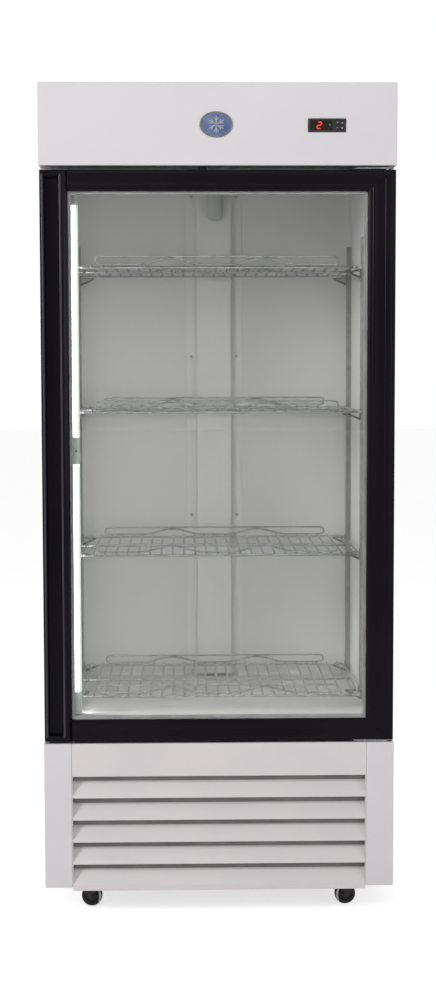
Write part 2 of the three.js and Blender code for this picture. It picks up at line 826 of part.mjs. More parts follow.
function fanBlade({ radius, hub, x, y, z, blades }) {
  const hubSolid = cut(
    rodAlongY(0, 0, hub, -fanHubLength / 2, fanHubLength / 2),
    rodAlongY(0, 0, shaftRadius + pinClearance - 0.2, -fanHubLength, fanHubLength, 12),
  );
  const wings = Array.from({ length: blades }, (_, i) => {
    const wing = new THREE.BoxGeometry(radius * 0.62, bladeThickness, radius - hub + 4);
    wing.rotateZ(THREE.MathUtils.degToRad(bladePitch));
    wing.translate(0, 0, (radius + hub) / 2 - 2);
    return wing.rotateY((i * 2 * Math.PI) / blades);
  });
  const disc = rodAlongY(0, 0, radius, -fanHubLength, fanHubLength, 2 * roundSides);
  return common(join(hubSolid, ...wings), disc).translate(x, y, z);
}

function fanMotor({ hub, x, y, z }, floor) {
  const start = y + fanHubLength / 2 + motorToHub;
  const can = rodAlongY(x, z, hub * 1.5, start, start + motorLength);
  const shaft = rodAlongY(x, z, shaftRadius, y - fanHubLength / 2 + 2, start + 1, 12);
  const legStart = start + motorLegFrom;
  const leg = box(x - motorLegHalf, x + motorLegHalf, legStart, legStart + motorLegThickness, floor, z);
  const footStart = start + motorFootFrom;
  const foot = box(
    x - motorFootHalf, x + motorFootHalf, footStart, footStart + motorFootLength,
    floor, floor + motorFootThickness,
  );
  return join(can, shaft, leg, foot);
}

// ---- Compressor bay ----
function compressor() {
  const radius = compressorRadius;
  const profile = [
    [0, 8], [radius * 0.55, 8], [radius * 0.9, 22], [radius, 48], [radius, 128],
    [radius * 0.9, 158], [radius * 0.6, 176], [0, 182],
  ].map(([r, h]) => new THREE.Vector2(r, h));
  const shell = new THREE.LatheGeometry(profile, roundSides).rotateX(Math.PI / 2);
  const plateHalf = radius + compressorFootLap;
  const depthHalf = compressorFootDepth / 2;
  const plate = box(-plateHalf, plateHalf, -depthHalf, depthHalf, 0, compressorFootThickness);
  const { reach, into, half, bottom, top } = terminalBox;
  const terminals = box(radius - into, radius + reach, -half, half, bottom, top);
  return join(shell, plate, terminals).translate(compressorX, compressorY, bayFloor);
}

function dripTray() {
  const back = rearY - trayFromBack;
  return openTopTray(
    -halfWidth + trayLeftGap, halfWidth - trayRightGap, back - trayDepth, back,
    bayFloor, bayFloor + trayHeight,
  );
}

// ---- Shelves ----
const shelfHalf = innerHalf - fitGap - pilasterDepth - shelfSideGap;
const railHalf = railWidth / 2;

// Height of the wavy wire's middle above the shelf's middle.
const waveLow = railHalf + wireWidth / 2 - 0.5;
const waveRise = loopHeight - wireWidth - waveLow;

function waveHeight(x) {
  const from = Math.min(Math.abs(Math.abs(x) - waveCentre) / waveReach, 1);
  return waveLow + (waveRise * (1 + Math.cos(from * Math.PI))) / 2;
}

// Distance from the crest at which the wavy wire's middle has come down to this height.
function waveDistance(height) {
  return (Math.acos((2 * (height - waveLow)) / waveRise - 1) / Math.PI) * waveReach;
}

function samples(x0, x1, count) {
  return Array.from({ length: count + 1 }, (_, i) => x0 + ((x1 - x0) * i) / count);
}

// Upright wire loop along a shelf's front or back edge: a straight wire over a wavy one.
function shelfLoop(y) {
  const half = wireWidth / 2;
  const reach = shelfHalf - loopEndGap;
  const topUnder = loopHeight - wireWidth;
  const lens = waveDistance(topUnder - half - 1);
  const inEnd = reach - wireWidth;
  const overWave = (x) => [x, waveHeight(x) + half];
  const outerFoot = waveCentre + waveReach;
  const innerFoot = waveCentre - waveReach;
  const falling = samples(waveCentre + lens, outerFoot, 6).map(overWave);
  const rising = samples(innerFoot, waveCentre - lens, 6).map(overWave);
  const mirrored = (points) => points.map(([x, z]) => [-x, z]).reverse();
  const rightGap = [...falling, overWave(inEnd), [inEnd, topUnder], [waveCentre + lens, topUnder]];
  const middleGap = [
    ...mirrored(rising), ...rising, [waveCentre - lens, topUnder], [lens - waveCentre, topUnder],
  ];
  const under = waveDistance(railHalf + half + 1);
  const archAt = (crest) => {
    const high = samples(crest + under, crest - under, 10).map((x) => [x, waveHeight(x) - half]);
    return [[crest - under, railHalf], [crest + under, railHalf], ...high];
  };
  const corner = 12;
  const rim = [
    [-reach, railHalf - 1], [reach, railHalf - 1], [reach, loopHeight - corner],
    [reach - corner / 3, loopHeight - corner / 3], [reach - corner, loopHeight],
    [-reach + corner, loopHeight], [-reach + corner / 3, loopHeight - corner / 3], [-reach, loopHeight - corner],
  ];
  const gaps = [mirrored(rightGap), middleGap, rightGap, archAt(-waveCentre), archAt(waveCentre)];
  return piercedPlate(rim, gaps, y - half, y + half);
}

function shelf() {
  const front = -shelfDepth / 2;
  const back = shelfDepth / 2;
  const inner = shelfHalf - railWidth;
  const frame = alongZ(outline(
    rectangle(-shelfHalf, shelfHalf, front, back),
    [rectangle(-inner, inner, front + railWidth, back - railWidth)],
  ), -railHalf, railHalf);
  const crossBar = box(-inner - 1, inner + 1, -railHalf, railHalf, -railHalf + 0.2, railHalf - 0.2);
  const sideWires = Math.floor((inner - wirePitch / 4) / wirePitch);
  const wires = [];
  for (let i = -sideWires; i <= sideWires; i += 1) {
    const x = i * wirePitch;
    wires.push(box(
      x - wireWidth / 2, x + wireWidth / 2, front + railWidth - 1, back - railWidth + 1,
      -wireWidth / 2, wireWidth / 2,
    ));
  }
  return join(frame, crossBar, ...wires, shelfLoop(front + railHalf), shelfLoop(back - railHalf));
}

// ---- Casters ----
function casterFork() {
  const inner = wheelWidth / 2 + 1;
  const axleZ = wheelDiameter / 2;
  const top = baseClearance - casterPlateSpace;
  const crown = axleZ + wheelDiameter / 2 + 5;
  const legOutline = outline([
    [casterTrail - 8, axleZ - 5], [casterTrail - 3, axleZ - 8], [casterTrail + 3, axleZ - 8],
    [casterTrail + 8, axleZ - 5], [casterTrail + 10, axleZ + 10], [swivelRadius - 3, crown + 1],
    [-swivelRadius + 3, crown + 1],
  ]);
  const legs = [-inner - forkPlate, inner].map((y) => alongY(legOutline, y, y + forkPlate));
  const head = rodAlongZ(0, 0, swivelRadius, crown, top);
  const reach = inner + forkPlate + 1.5;
  const axle = rodAlongY(casterTrail, axleZ, axleRadius, -reach, reach, 16);
  return join(head, ...legs, axle);
}

function casterWheel() {
  const radius = wheelDiameter / 2;
  const half = wheelWidth / 2;
  const bore = axleRadius + axleClearance;
  const edge = 3;
  const profile = [
    [bore, -half], [radius - edge, -half], [radius, -half + edge], [radius, half - edge],
    [radius - edge, half], [bore, half], [bore, -half],
  ].map(([r, h]) => new THREE.Vector2(r, h));
  return new THREE.LatheGeometry(profile, roundSides + 8);
}

// ---- Assembly ----
const refrigerator = new THREE.Group();

function add(name, geometry, material, parent = refrigerator) {
  const mesh = new THREE.Mesh(geometry, material);
  mesh.name = name;
  parent.add(mesh);
  return mesh;
}

function addCabinet() {
  add('outer_case', outerCase(), whitePaint());
  add('back_panel', backPanel(), whitePaint());
  add('foam_insulation', insulation(), foam());
  add('inner_liner', innerLiner(), greyWhiteSheet());
  add('breaker_frame', breakerFrame(), whitePaint());
  add('header_panel', headerPanel(), whitePaint());
  add('badge', badge(), badgeBlue());
  add('control_unit', controlUnit(), blackPlastic());
  keyPlaces.forEach((place) => add(place[0], keySolid(place), blackPlastic()));
  add('door_switch', doorSwitch(), blackPlastic());
}

function addBase() {
  add('base_post_left', basePost(-1), whitePaint());
  add('base_post_right', basePost(1), whitePaint());
  add('grille_panel', grillePanel(), whitePaint());
  add('base_pan', basePan(), bareMetal());
  add('rear_grille', rearGrille(), whitePaint());
  add('cord_gland', cordGland(), blackPlastic());
}

function addDoor() {
  add('hinge_bracket_top', hingeBracket(doorTop + hingeGapAbove, true, false), bareMetal());
  add('hinge_bracket_bottom', hingeBracket(baseTop + hingeGapBelow, false, true), bareMetal());
  add('door_stile_handle', handleStile(), blackFrame());
  add('door_stile_hinge', hingeStile(), blackFrame());
  add('door_rail_top', doorRail('top'), blackFrame());
  add('door_rail_bottom', doorRail('bottom'), blackFrame());
  add('glass_outer', pane(glassFrontY + fitGap), clearGlass());
  add('glass_spacer', glassSpacer(), bareMetal());
  add('glass_inner', pane(glassFrontY + paneThickness + paneSpacing + 3 * fitGap - 0.1), clearGlass());
  add('door_gasket', doorGasket(), greyRubber());
  add('door_closer', doorCloser(), bareMetal());
}

function addInterior() {
  for (const [sideName, side] of [['left', -1], ['right', 1]]) {
    for (const [rowName, y] of Object.entries(pilasterRows)) {
      add(`pilaster_${rowName}_${sideName}`, pilaster(side, y), bareMetal());
    }
  }
  add('duct_cover', ductCover(), greyWhiteSheet());
  add('drain_tube', drainTube(), greyRubber());
  add('lamp_channel', lampChannel(), whitePaint());
  const half = lampJointHeight / 2 + fitGap;
  add('lamp_tube_upper', lampTube(lampJointMiddle + half, mouthTop - lampTopGap), lampDiffuser());
  add('lamp_tube_lower', lampTube(floorTop + lampBottomGap, lampJointMiddle - half), lampDiffuser());
}

function addCooling() {
  const trayFloor = evaporatorBottom + sheet + fitGap;
  add('evaporator_cover', evaporatorCover(), greyWhiteSheet());
  const coilBack = innerRear - evaporatorCoilFromWall;
  add('evaporator_coil', finnedCoil(
    -evaporatorCoilHalf, evaporatorCoilHalf, coilBack - evaporatorCoilDepth, coilBack,
    trayFloor, ceiling - evaporatorHeadroom,
  ), bareMetal());
  add('evaporator_fan', fanBlade(evaporatorFan), blackPlastic());
  add('evaporator_fan_motor', fanMotor(evaporatorFan, trayFloor), darkShell());
  add('compressor', compressor(), darkShell());
  add('condenser_coil', finnedCoil(
    condenserLeft, condenserRight, condenserFront, condenserFront + condenserDepth, bayFloor, condenserTop,
  ), bareMetal());
  add('condenser_fan', fanBlade(condenserFan), blackPlastic());
  add('condenser_fan_motor', fanMotor(condenserFan, bayFloor), darkShell());
  add('drip_tray', dripTray(), blackPlastic());
}

function addShelves() {
  for (let i = 0; i < shelfCount; i += 1) {
    const level = add(`shelf_${shelfCount - i}`, shelf(), chromeWire());
    level.position.set(0, (shelfFront + shelfBack) / 2, shelfBottom + i * shelfPitch);
  }
}

function addCasters() {
  const rows = [['front', frontY + frontCasterFromFace], ['rear', rearY - rearCasterFromBack]];
  for (const [rowName, y] of rows) {
    for (const [sideName, side] of [['left', -1], ['right', 1]]) {
      const swivel = new THREE.Group();
      swivel.position.set(side * casterFromMiddle, y, 0);
      swivel.rotation.z = side < 0 ? 0 : Math.PI; // both trail towards the middle
      refrigerator.add(swivel);
      add(`caster_fork_${rowName}_${sideName}`, casterFork(), bareMetal(), swivel);
      const wheel = add(`caster_wheel_${rowName}_${sideName}`, casterWheel(), blackRubber(), swivel);
      wheel.position.set(casterTrail, 0, wheelDiameter / 2);
    }
  }
}

addCabinet();
addBase();
addDoor();
addInterior();
addCooling();
addShelves();
addCasters();

export default refrigerator;
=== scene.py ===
"""Upright glass-door refrigerator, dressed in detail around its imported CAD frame."""

import json
import logging
import math
from collections.abc import Callable, Iterator, Sequence
from contextlib import contextmanager
from dataclasses import dataclass
from enum import Enum

import bmesh
import bpy
from mathutils import Euler, Matrix, Vector


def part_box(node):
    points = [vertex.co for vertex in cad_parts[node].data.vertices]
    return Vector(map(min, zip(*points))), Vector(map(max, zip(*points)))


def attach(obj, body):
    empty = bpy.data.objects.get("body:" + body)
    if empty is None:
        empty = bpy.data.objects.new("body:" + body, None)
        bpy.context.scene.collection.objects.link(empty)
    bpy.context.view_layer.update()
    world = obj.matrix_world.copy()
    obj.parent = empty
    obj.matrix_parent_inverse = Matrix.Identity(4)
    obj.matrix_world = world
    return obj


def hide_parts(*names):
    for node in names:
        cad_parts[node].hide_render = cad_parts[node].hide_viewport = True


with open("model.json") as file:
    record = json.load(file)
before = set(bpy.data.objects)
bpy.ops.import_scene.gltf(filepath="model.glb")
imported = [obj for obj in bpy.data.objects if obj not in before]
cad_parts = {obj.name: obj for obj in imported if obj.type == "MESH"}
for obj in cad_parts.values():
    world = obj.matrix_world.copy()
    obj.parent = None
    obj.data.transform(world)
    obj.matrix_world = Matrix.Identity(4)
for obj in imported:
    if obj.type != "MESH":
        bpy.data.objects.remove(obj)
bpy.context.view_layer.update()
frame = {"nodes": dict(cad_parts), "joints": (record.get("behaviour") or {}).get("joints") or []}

LOG = logging.getLogger("refrigerator")
Colour = tuple[float, float, float]
Point2 = tuple[float, float]
Piece = bpy.types.Object


def mm(value: float) -> float:
    """Millimetres as metres."""
    return value / 1000.0


class Axis(Enum):
    """Direction that a bar or a rod runs in."""

    X = 0
    Y = 1
    Z = 2

    def place(self, u: float, v: float, along: float) -> Vector:
        """Point of a section (u, v) at a distance along this axis.

        Args:
            u: First coordinate across the axis, in world order.
            v: Second coordinate across the axis.
            along: Coordinate on the axis.

        Returns:
            The point in the row frame.
        """
        point = [u, v]
        point.insert(self.value, along)
        return Vector(point)

    def turn(self) -> tuple[float, float, float]:
        """Rotation that lays a primitive's own Z along this axis."""
        quarter = math.pi / 2
        return {Axis.X: (0, quarter, 0), Axis.Y: (quarter, 0, 0), Axis.Z: (0, 0, 0)}[self]


@dataclass(frozen=True)
class Span:
    """Box that a piece fills."""

    lo: Vector
    hi: Vector

    @classmethod
    def of(cls, node: str) -> "Span":
        """Box of a CAD node at rest."""
        return cls(*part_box(node))

    @property
    def centre(self) -> Vector:
        """Middle of the box."""
        return (self.lo + self.hi) / 2

    @property
    def size(self) -> Vector:
        """Lengths of the box."""
        return self.hi - self.lo

    def inner(self, gap: float) -> "Span":
        """Box that is smaller by a gap on every side."""
        step = Vector((gap, gap, gap))
        return Span(self.lo + step, self.hi - step)


# ---------------------------------------------------------------- finishes
class Kind(Enum):
    """How a finish scatters light."""

    SOLID = "solid"
    CLEAR = "clear"
    GLOW = "glow"


class Effects:
    """Node groups that several finishes share, each made once."""

    _made: dict[str, bpy.types.NodeTree] = {}

    @classmethod
    def group(cls, name: str, build: Callable[[bpy.types.NodeTree], None]) -> bpy.types.NodeTree:
        """The named group, built on first use.

        Args:
            name: Name of the group.
            build: Function that fills an empty group.

        Returns:
            The node tree.
        """
        if name not in cls._made:
            tree = bpy.data.node_groups.new(name, "ShaderNodeTree")
            build(tree)
            cls._made[name] = tree
        return cls._made[name]

    @staticmethod
    def _socket(tree: bpy.types.NodeTree, name: str, side: str, kind: str, value: object = None) -> None:
        """Adds one socket to a group.

        Args:
            tree: The group.
            name: Socket name.
            side: INPUT or OUTPUT.
            kind: Socket type after NodeSocket.
            value: Default value of an input.
        """
        made = tree.interface.new_socket(name=name, in_out=side, socket_type=f"NodeSocket{kind}")
        if value is not None:
            made.default_value = value

    @classmethod
    def grain(cls) -> bpy.types.NodeTree:
        """Fine surface texture, with a height and a mask."""

        def build(tree: bpy.types.NodeTree) -> None:
            """Fills the grain group."""
            cls._socket(tree, "Vector", "INPUT", "Vector")
            cls._socket(tree, "Scale", "INPUT", "Float", 400.0)
            cls._socket(tree, "Detail", "INPUT", "Float", 3.0)
            cls._socket(tree, "Low", "INPUT", "Float", 0.3)
            cls._socket(tree, "High", "INPUT", "Float", 0.4)
            cls._socket(tree, "Height", "OUTPUT", "Float")
            cls._socket(tree, "Roughness", "OUTPUT", "Float")
            inside = tree.nodes.new("NodeGroupInput")
            outside = tree.nodes.new("NodeGroupOutput")
            noise = tree.nodes.new("ShaderNodeTexNoise")
            spread = tree.nodes.new("ShaderNodeMapRange")
            tree.links.new(inside.outputs["Vector"], noise.inputs["Vector"])
            tree.links.new(inside.outputs["Scale"], noise.inputs["Scale"])
            tree.links.new(inside.outputs["Detail"], noise.inputs["Detail"])
            tree.links.new(noise.outputs["Fac"], spread.inputs["Value"])
            tree.links.new(inside.outputs["Low"], spread.inputs["To Min"])
            tree.links.new(inside.outputs["High"], spread.inputs["To Max"])
            tree.links.new(noise.outputs["Fac"], outside.inputs["Height"])
            tree.links.new(spread.outputs["Result"], outside.inputs["Roughness"])

        return cls.group("fine grain", build)

    @classmethod
    def cloud(cls) -> bpy.types.NodeTree:
        """Soft drift between two near colours."""

        def build(tree: bpy.types.NodeTree) -> None:
            """Fills the cloud group."""
            cls._socket(tree, "Vector", "INPUT", "Vector")
            cls._socket(tree, "Scale", "INPUT", "Float", 4.0)
            cls._socket(tree, "Colour", "INPUT", "Color", (0.5, 0.5, 0.5, 1))
            cls._socket(tree, "Shade", "INPUT", "Color", (0.4, 0.4, 0.4, 1))
            cls._socket(tree, "Colour", "OUTPUT", "Color")
            inside = tree.nodes.new("NodeGroupInput")
            outside = tree.nodes.new("NodeGroupOutput")
            noise = tree.nodes.new("ShaderNodeTexNoise")
            noise.inputs["Detail"].default_value = 5.0
            spread = tree.nodes.new("ShaderNodeMapRange")
            spread.inputs["From Min"].default_value = 0.35
            spread.inputs["From Max"].default_value = 0.65
            mix = tree.nodes.new("ShaderNodeMix")
            mix.data_type = "RGBA"
            tree.links.new(inside.outputs["Vector"], noise.inputs["Vector"])
            tree.links.new(inside.outputs["Scale"], noise.inputs["Scale"])
            tree.links.new(noise.outputs["Fac"], spread.inputs["Value"])
            tree.links.new(spread.outputs["Result"], mix.inputs["Factor"])
            tree.links.new(inside.outputs["Colour"], mix.inputs["A"])
            tree.links.new(inside.outputs["Shade"], mix.inputs["B"])
            tree.links.new(mix.outputs["Result"], outside.inputs["Colour"])

        return cls.group("soft drift", build)

    @classmethod
    def settled(cls) -> bpy.types.NodeTree:
        """Dust that settles on upward faces, in noisy patches."""

        def build(tree: bpy.types.NodeTree) -> None:
            """Fills the dust group."""
            cls._socket(tree, "Vector", "INPUT", "Vector")
            cls._socket(tree, "Amount", "INPUT", "Float", 0.1)
            cls._socket(tree, "Colour", "INPUT", "Color", (0.5, 0.5, 0.5, 1))
            cls._socket(tree, "Dust", "INPUT", "Color", (0.42, 0.4, 0.37, 1))
            cls._socket(tree, "Colour", "OUTPUT", "Color")
            inside = tree.nodes.new("NodeGroupInput")
            outside = tree.nodes.new("NodeGroupOutput")
            facing = tree.nodes.new("ShaderNodeNewGeometry")
            parts = tree.nodes.new("ShaderNodeSeparateXYZ")
            upward = tree.nodes.new("ShaderNodeMapRange")
            upward.inputs["From Min"].default_value = 0.2
            noise = tree.nodes.new("ShaderNodeTexNoise")
            noise.inputs["Scale"].default_value = 22.0
            noise.inputs["Detail"].default_value = 6.0
            patch = tree.nodes.new("ShaderNodeMath")
            patch.operation = "MULTIPLY"
            share = tree.nodes.new("ShaderNodeMath")
            share.operation = "MULTIPLY"
            mix = tree.nodes.new("ShaderNodeMix")
            mix.data_type = "RGBA"
            tree.links.new(facing.outputs["Normal"], parts.inputs["Vector"])
            tree.links.new(parts.outputs["Z"], upward.inputs["Value"])
            tree.links.new(inside.outputs["Vector"], noise.inputs["Vector"])
            tree.links.new(noise.outputs["Fac"], patch.inputs[0])
            tree.links.new(upward.outputs["Result"], patch.inputs[1])
            tree.links.new(patch.outputs["Value"], share.inputs[0])
            tree.links.new(inside.outputs["Amount"], share.inputs[1])
            tree.links.new(share.outputs["Value"], mix.inputs["Factor"])
            tree.links.new(inside.outputs["Colour"], mix.inputs["A"])
            tree.links.new(inside.outputs["Dust"], mix.inputs["B"])
            tree.links.new(mix.outputs["Result"], outside.inputs["Colour"])

        return cls.group("settled dust", build)


@dataclass(frozen=True)
class Finish:
    """One surface finish, as a maker would order it."""

    name: str
    slot: str
    colour: Colour
    shade: Colour
    rough: float = 0.4
    rough_spread: float = 0.08
    metal: float = 0.0
    coat: float = 0.0
    grain: float = 500.0
    stretch: Colour = (1.0, 1.0, 1.0)
    relief: float = 0.05
    drift: float = 5.0
    dust: float = 0.0
    glow: float = 0.0
    gloss: float = 0.5
    kind: Kind = Kind.SOLID

    def material(self) -> bpy.types.Material:
        """The material for this finish, made on first use.

        Returns:
            The Blender material.
        """
        made = bpy.data.materials.get(self.name)
        if made is not None:
            return made
        made = bpy.data.materials.new(self.name)
        made.use_nodes = True
        tree = made.node_tree
        shader = tree.nodes["Principled BSDF"]
        where = tree.nodes.new("ShaderNodeTexCoord")
        colour = self._colour_nodes(tree, where)
        tree.links.new(colour, shader.inputs["Base Color"])
        self._surface_nodes(tree, where, shader)
        shader.inputs["Metallic"].default_value = self.metal
        shader.inputs["Coat Weight"].default_value = self.coat
        shader.inputs["Coat Roughness"].default_value = 0.08
        shader.inputs["Specular IOR Level"].default_value = self.gloss
        if self.kind is Kind.CLEAR:
            self._let_light_through(tree, shader)
        if self.kind is Kind.GLOW:
            tree.links.new(colour, shader.inputs["Emission Color"])
            shader.inputs["Emission Strength"].default_value = self.glow
        return made

    def _colour_nodes(
        self, tree: bpy.types.NodeTree, where: bpy.types.Node
    ) -> bpy.types.NodeSocket:
        """Adds the drifting base colour and the dust on it.

        Args:
            tree: The material's nodes.
            where: Texture coordinate node.

        Returns:
            The colour socket.
        """
        cloud = tree.nodes.new("ShaderNodeGroup")
        cloud.node_tree = Effects.cloud()
        cloud.inputs["Scale"].default_value = self.drift
        cloud.inputs["Colour"].default_value = (*self.colour, 1)
        cloud.inputs["Shade"].default_value = (*self.shade, 1)
        tree.links.new(where.outputs["Object"], cloud.inputs["Vector"])
        if self.dust == 0:
            return cloud.outputs["Colour"]
        dust = tree.nodes.new("ShaderNodeGroup")
        dust.node_tree = Effects.settled()
        dust.inputs["Amount"].default_value = self.dust
        tree.links.new(where.outputs["Object"], dust.inputs["Vector"])
        tree.links.new(cloud.outputs["Colour"], dust.inputs["Colour"])
        return dust.outputs["Colour"]

    def _surface_nodes(
        self, tree: bpy.types.NodeTree, where: bpy.types.Node, shader: bpy.types.Node
    ) -> None:
        """Adds the grain that drives roughness and relief.

        Args:
            tree: The material's nodes.
            where: Texture coordinate node.
            shader: The material's shader.
        """
        if self.kind is Kind.CLEAR:
            shader.inputs["Roughness"].default_value = self.rough
            return
        layout = tree.nodes.new("ShaderNodeMapping")
        layout.inputs["Scale"].default_value = self.stretch
        grain = tree.nodes.new("ShaderNodeGroup")
        grain.node_tree = Effects.grain()
        grain.inputs["Scale"].default_value = self.grain
        grain.inputs["Low"].default_value = max(self.rough - self.rough_spread, 0.02)
        grain.inputs["High"].default_value = self.rough + self.rough_spread
        bump = tree.nodes.new("ShaderNodeBump")
        bump.inputs["Strength"].default_value = self.relief
        bump.inputs["Distance"].default_value = mm(0.4)
        tree.links.new(where.outputs["Object"], layout.inputs["Vector"])
        tree.links.new(layout.outputs["Vector"], grain.inputs["Vector"])
        tree.links.new(grain.outputs["Roughness"], shader.inputs["Roughness"])
        tree.links.new(grain.outputs["Height"], bump.inputs["Height"])
        tree.links.new(bump.outputs["Normal"], shader.inputs["Normal"])

    @staticmethod
    def _let_light_through(tree: bpy.types.NodeTree, shader: bpy.types.Node) -> None:
        """Makes the shader clear, and lets lamps shine through it.

        Args:
            tree: The material's nodes.
            shader: The material's shader.
        """
        shader.inputs["Transmission Weight"].default_value = 1.0
        shader.inputs["IOR"].default_value = 1.45
        path = tree.nodes.new("ShaderNodeLightPath")
        clear = tree.nodes.new("ShaderNodeBsdfTransparent")
        clear.inputs["Color"].default_value = (0.98, 0.985, 0.982, 1)
        mix = tree.nodes.new("ShaderNodeMixShader")
        out = tree.nodes["Material Output"]
        tree.links.new(path.outputs["Is Shadow Ray"], mix.inputs["Fac"])
        tree.links.new(shader.outputs["BSDF"], mix.inputs[1])
        tree.links.new(clear.outputs["BSDF"], mix.inputs[2])
        tree.links.new(mix.outputs["Shader"], out.inputs["Surface"])


WHITE_PAINT = Finish(
    "white powder coat", "white_paint", (0.71, 0.68, 0.70), (0.685, 0.655, 0.675),
    rough=0.4, grain=900, relief=0.03, drift=3, dust=0.05,
)
GRILLE_PAINT = Finish(
    "white powder coat, louvres", "white_paint", (0.71, 0.665, 0.675), (0.68, 0.64, 0.65),
    rough=0.38, grain=900, relief=0.03, drift=6, dust=0.06,
)
LINER_SHEET = Finish(
    "liner sheet", "liner_sheet", (0.62, 0.612, 0.595), (0.595, 0.588, 0.572),
    rough=0.5, rough_spread=0.04, grain=900, relief=0.008, drift=2.5,
)
DUCT_SHEET = Finish(
    "duct cover sheet", "liner_sheet", (0.66, 0.652, 0.625), (0.64, 0.632, 0.605),
    rough=0.45, rough_spread=0.04, grain=900, relief=0.008, drift=3,
)
TRIM_PLASTIC = Finish(
    "white trim plastic", "white_plastic", (0.72, 0.73, 0.71), (0.68, 0.69, 0.68),
    rough=0.42, grain=600, relief=0.05,
)
GREY_PLASTIC = Finish(
    "grey end cap plastic", "white_plastic", (0.30, 0.31, 0.30), (0.24, 0.25, 0.25),
    rough=0.45, grain=500, relief=0.06,
)
CAP_PLASTIC = Finish(
    "pale lamp cap plastic", "white_plastic", (0.56, 0.59, 0.575), (0.48, 0.51, 0.50),
    rough=0.42, grain=500, relief=0.03,
)
FOAM = Finish(
    "rigid foam", "insulation_foam", (0.79, 0.72, 0.43), (0.70, 0.60, 0.33),
    rough=0.9, grain=260, relief=0.6, drift=12,
)
BLACK_FRAME = Finish(
    "black anodised frame", "black_frame", (0.0045, 0.0035, 0.0055), (0.007, 0.0055, 0.008),
    rough=0.3, rough_spread=0.06, gloss=0.12, grain=60, stretch=(14.0, 14.0, 0.6), relief=0.01,
)
# Paler black for the grip ridges: its lighter colour is painted highlight along their crests.
RIDGE_HIGHLIGHT_BLACK = Finish(
    "black ridge, painted highlight", "black_frame", (0.050, 0.045, 0.054), (0.030, 0.027, 0.033),
    rough=0.3, rough_spread=0.06, gloss=0.4, grain=60, stretch=(14.0, 14.0, 0.6), relief=0.01,
)
BLACK_PLASTIC = Finish(
    "black moulded plastic", "black_plastic", (0.010, 0.010, 0.011), (0.016, 0.015, 0.016),
    rough=0.45, grain=900, relief=0.2, dust=0.05,
)
DISPLAY = Finish(
    "smoked display window", "black_plastic", (0.006, 0.003, 0.003), (0.010, 0.004, 0.004),
    rough=0.12, coat=0.5, grain=200, relief=0.0,
)
DIGIT_RED = Finish(
    "red digit light", "black_plastic", (0.95, 0.03, 0.02), (0.85, 0.02, 0.02),
    rough=0.4, grain=300, glow=1.6, kind=Kind.GLOW,
)
SIGNAL_GREEN = Finish(
    "green signal light", "black_plastic", (0.02, 0.22, 0.08), (0.015, 0.15, 0.06),
    rough=0.4, grain=300, glow=0.35, kind=Kind.GLOW,
)
KEY_MARK = Finish(
    "pale key print", "black_plastic", (0.45, 0.45, 0.46), (0.38, 0.38, 0.39),
    rough=0.5, grain=700, relief=0.02,
)
ENAMEL_BLUE = Finish(
    "blue badge enamel", "badge_enamel", (0.07, 0.11, 0.25), (0.16, 0.22, 0.38),
    rough=0.2, coat=0.6, grain=300, relief=0.01, drift=40,
)
GALVANISED = Finish(
    "galvanised sheet", "galvanised_steel", (0.46, 0.47, 0.47), (0.34, 0.35, 0.36),
    rough=0.38, rough_spread=0.12, metal=0.9, grain=70, relief=0.05, drift=45, dust=0.2,
)
ZINC = Finish(
    "bright zinc plate", "zinc_plated_steel", (0.55, 0.56, 0.57), (0.42, 0.43, 0.45),
    rough=0.27, rough_spread=0.1, metal=1.0, grain=260, relief=0.05, drift=60,
)
GLASS = Finish(
    "clear float glass", "clear_glass", (0.996, 1.0, 0.998), (0.992, 0.998, 0.995),
    rough=0.0, kind=Kind.CLEAR,
)
ALUMINIUM = Finish(
    "bright aluminium", "bright_aluminium", (0.74, 0.73, 0.73), (0.62, 0.62, 0.63),
    rough=0.3, metal=0.85, grain=120, stretch=(6.0, 6.0, 1.0), relief=0.04, drift=30,
)
SPACER_BAR = Finish(
    "grey spacer bar", "bright_aluminium", (0.27, 0.26, 0.265), (0.21, 0.20, 0.21),
    rough=0.45, metal=0.25, grain=120, stretch=(6.0, 6.0, 1.0), relief=0.02, drift=20,
)
SATIN_RIM = Finish(
    "satin badge rim", "bright_aluminium", (0.42, 0.42, 0.44), (0.30, 0.30, 0.32),
    rough=0.25, metal=0.95, grain=200, relief=0.03, drift=60,
)
GASKET = Finish(
    "gasket rubber", "gasket_rubber", (0.035, 0.035, 0.037), (0.05, 0.05, 0.05),
    rough=0.72, grain=800, relief=0.25, dust=0.1,
)
HOSE = Finish(
    "grey drain hose", "grey_hose", (0.42, 0.43, 0.41), (0.36, 0.37, 0.36),
    rough=0.5, grain=300, relief=0.1, drift=18,
)
DIFFUSER = Finish(
    "lamp diffuser", "lamp_diffuser", (1.0, 1.0, 0.99), (0.97, 0.98, 0.97),
    rough=0.35, grain=200, relief=0.0, glow=3.5, kind=Kind.GLOW,
)
DARK_ENAMEL = Finish(
    "dark machine enamel", "dark_enamel", (0.016, 0.017, 0.02), (0.026, 0.026, 0.03),
    rough=0.36, coat=0.2, grain=350, relief=0.12, dust=0.35,
)
CHROME = Finish(
    "chromed wire", "chromed_wire", (0.52, 0.52, 0.53), (0.42, 0.42, 0.43),
    rough=0.14, rough_spread=0.05, metal=1.0, grain=300, relief=0.02, drift=70,
)
UPRIGHT_STEEL = Finish(
    "dull upright steel", "galvanised_steel", (0.30, 0.295, 0.285), (0.22, 0.215, 0.21),
    rough=0.45, rough_spread=0.1, metal=0.6, grain=90, relief=0.04, drift=35,
)
CLIP_STEEL = Finish(
    "dark clip steel", "zinc_plated_steel", (0.13, 0.13, 0.13), (0.09, 0.09, 0.09),
    rough=0.32, metal=0.85, grain=300, relief=0.04, drift=60,
)
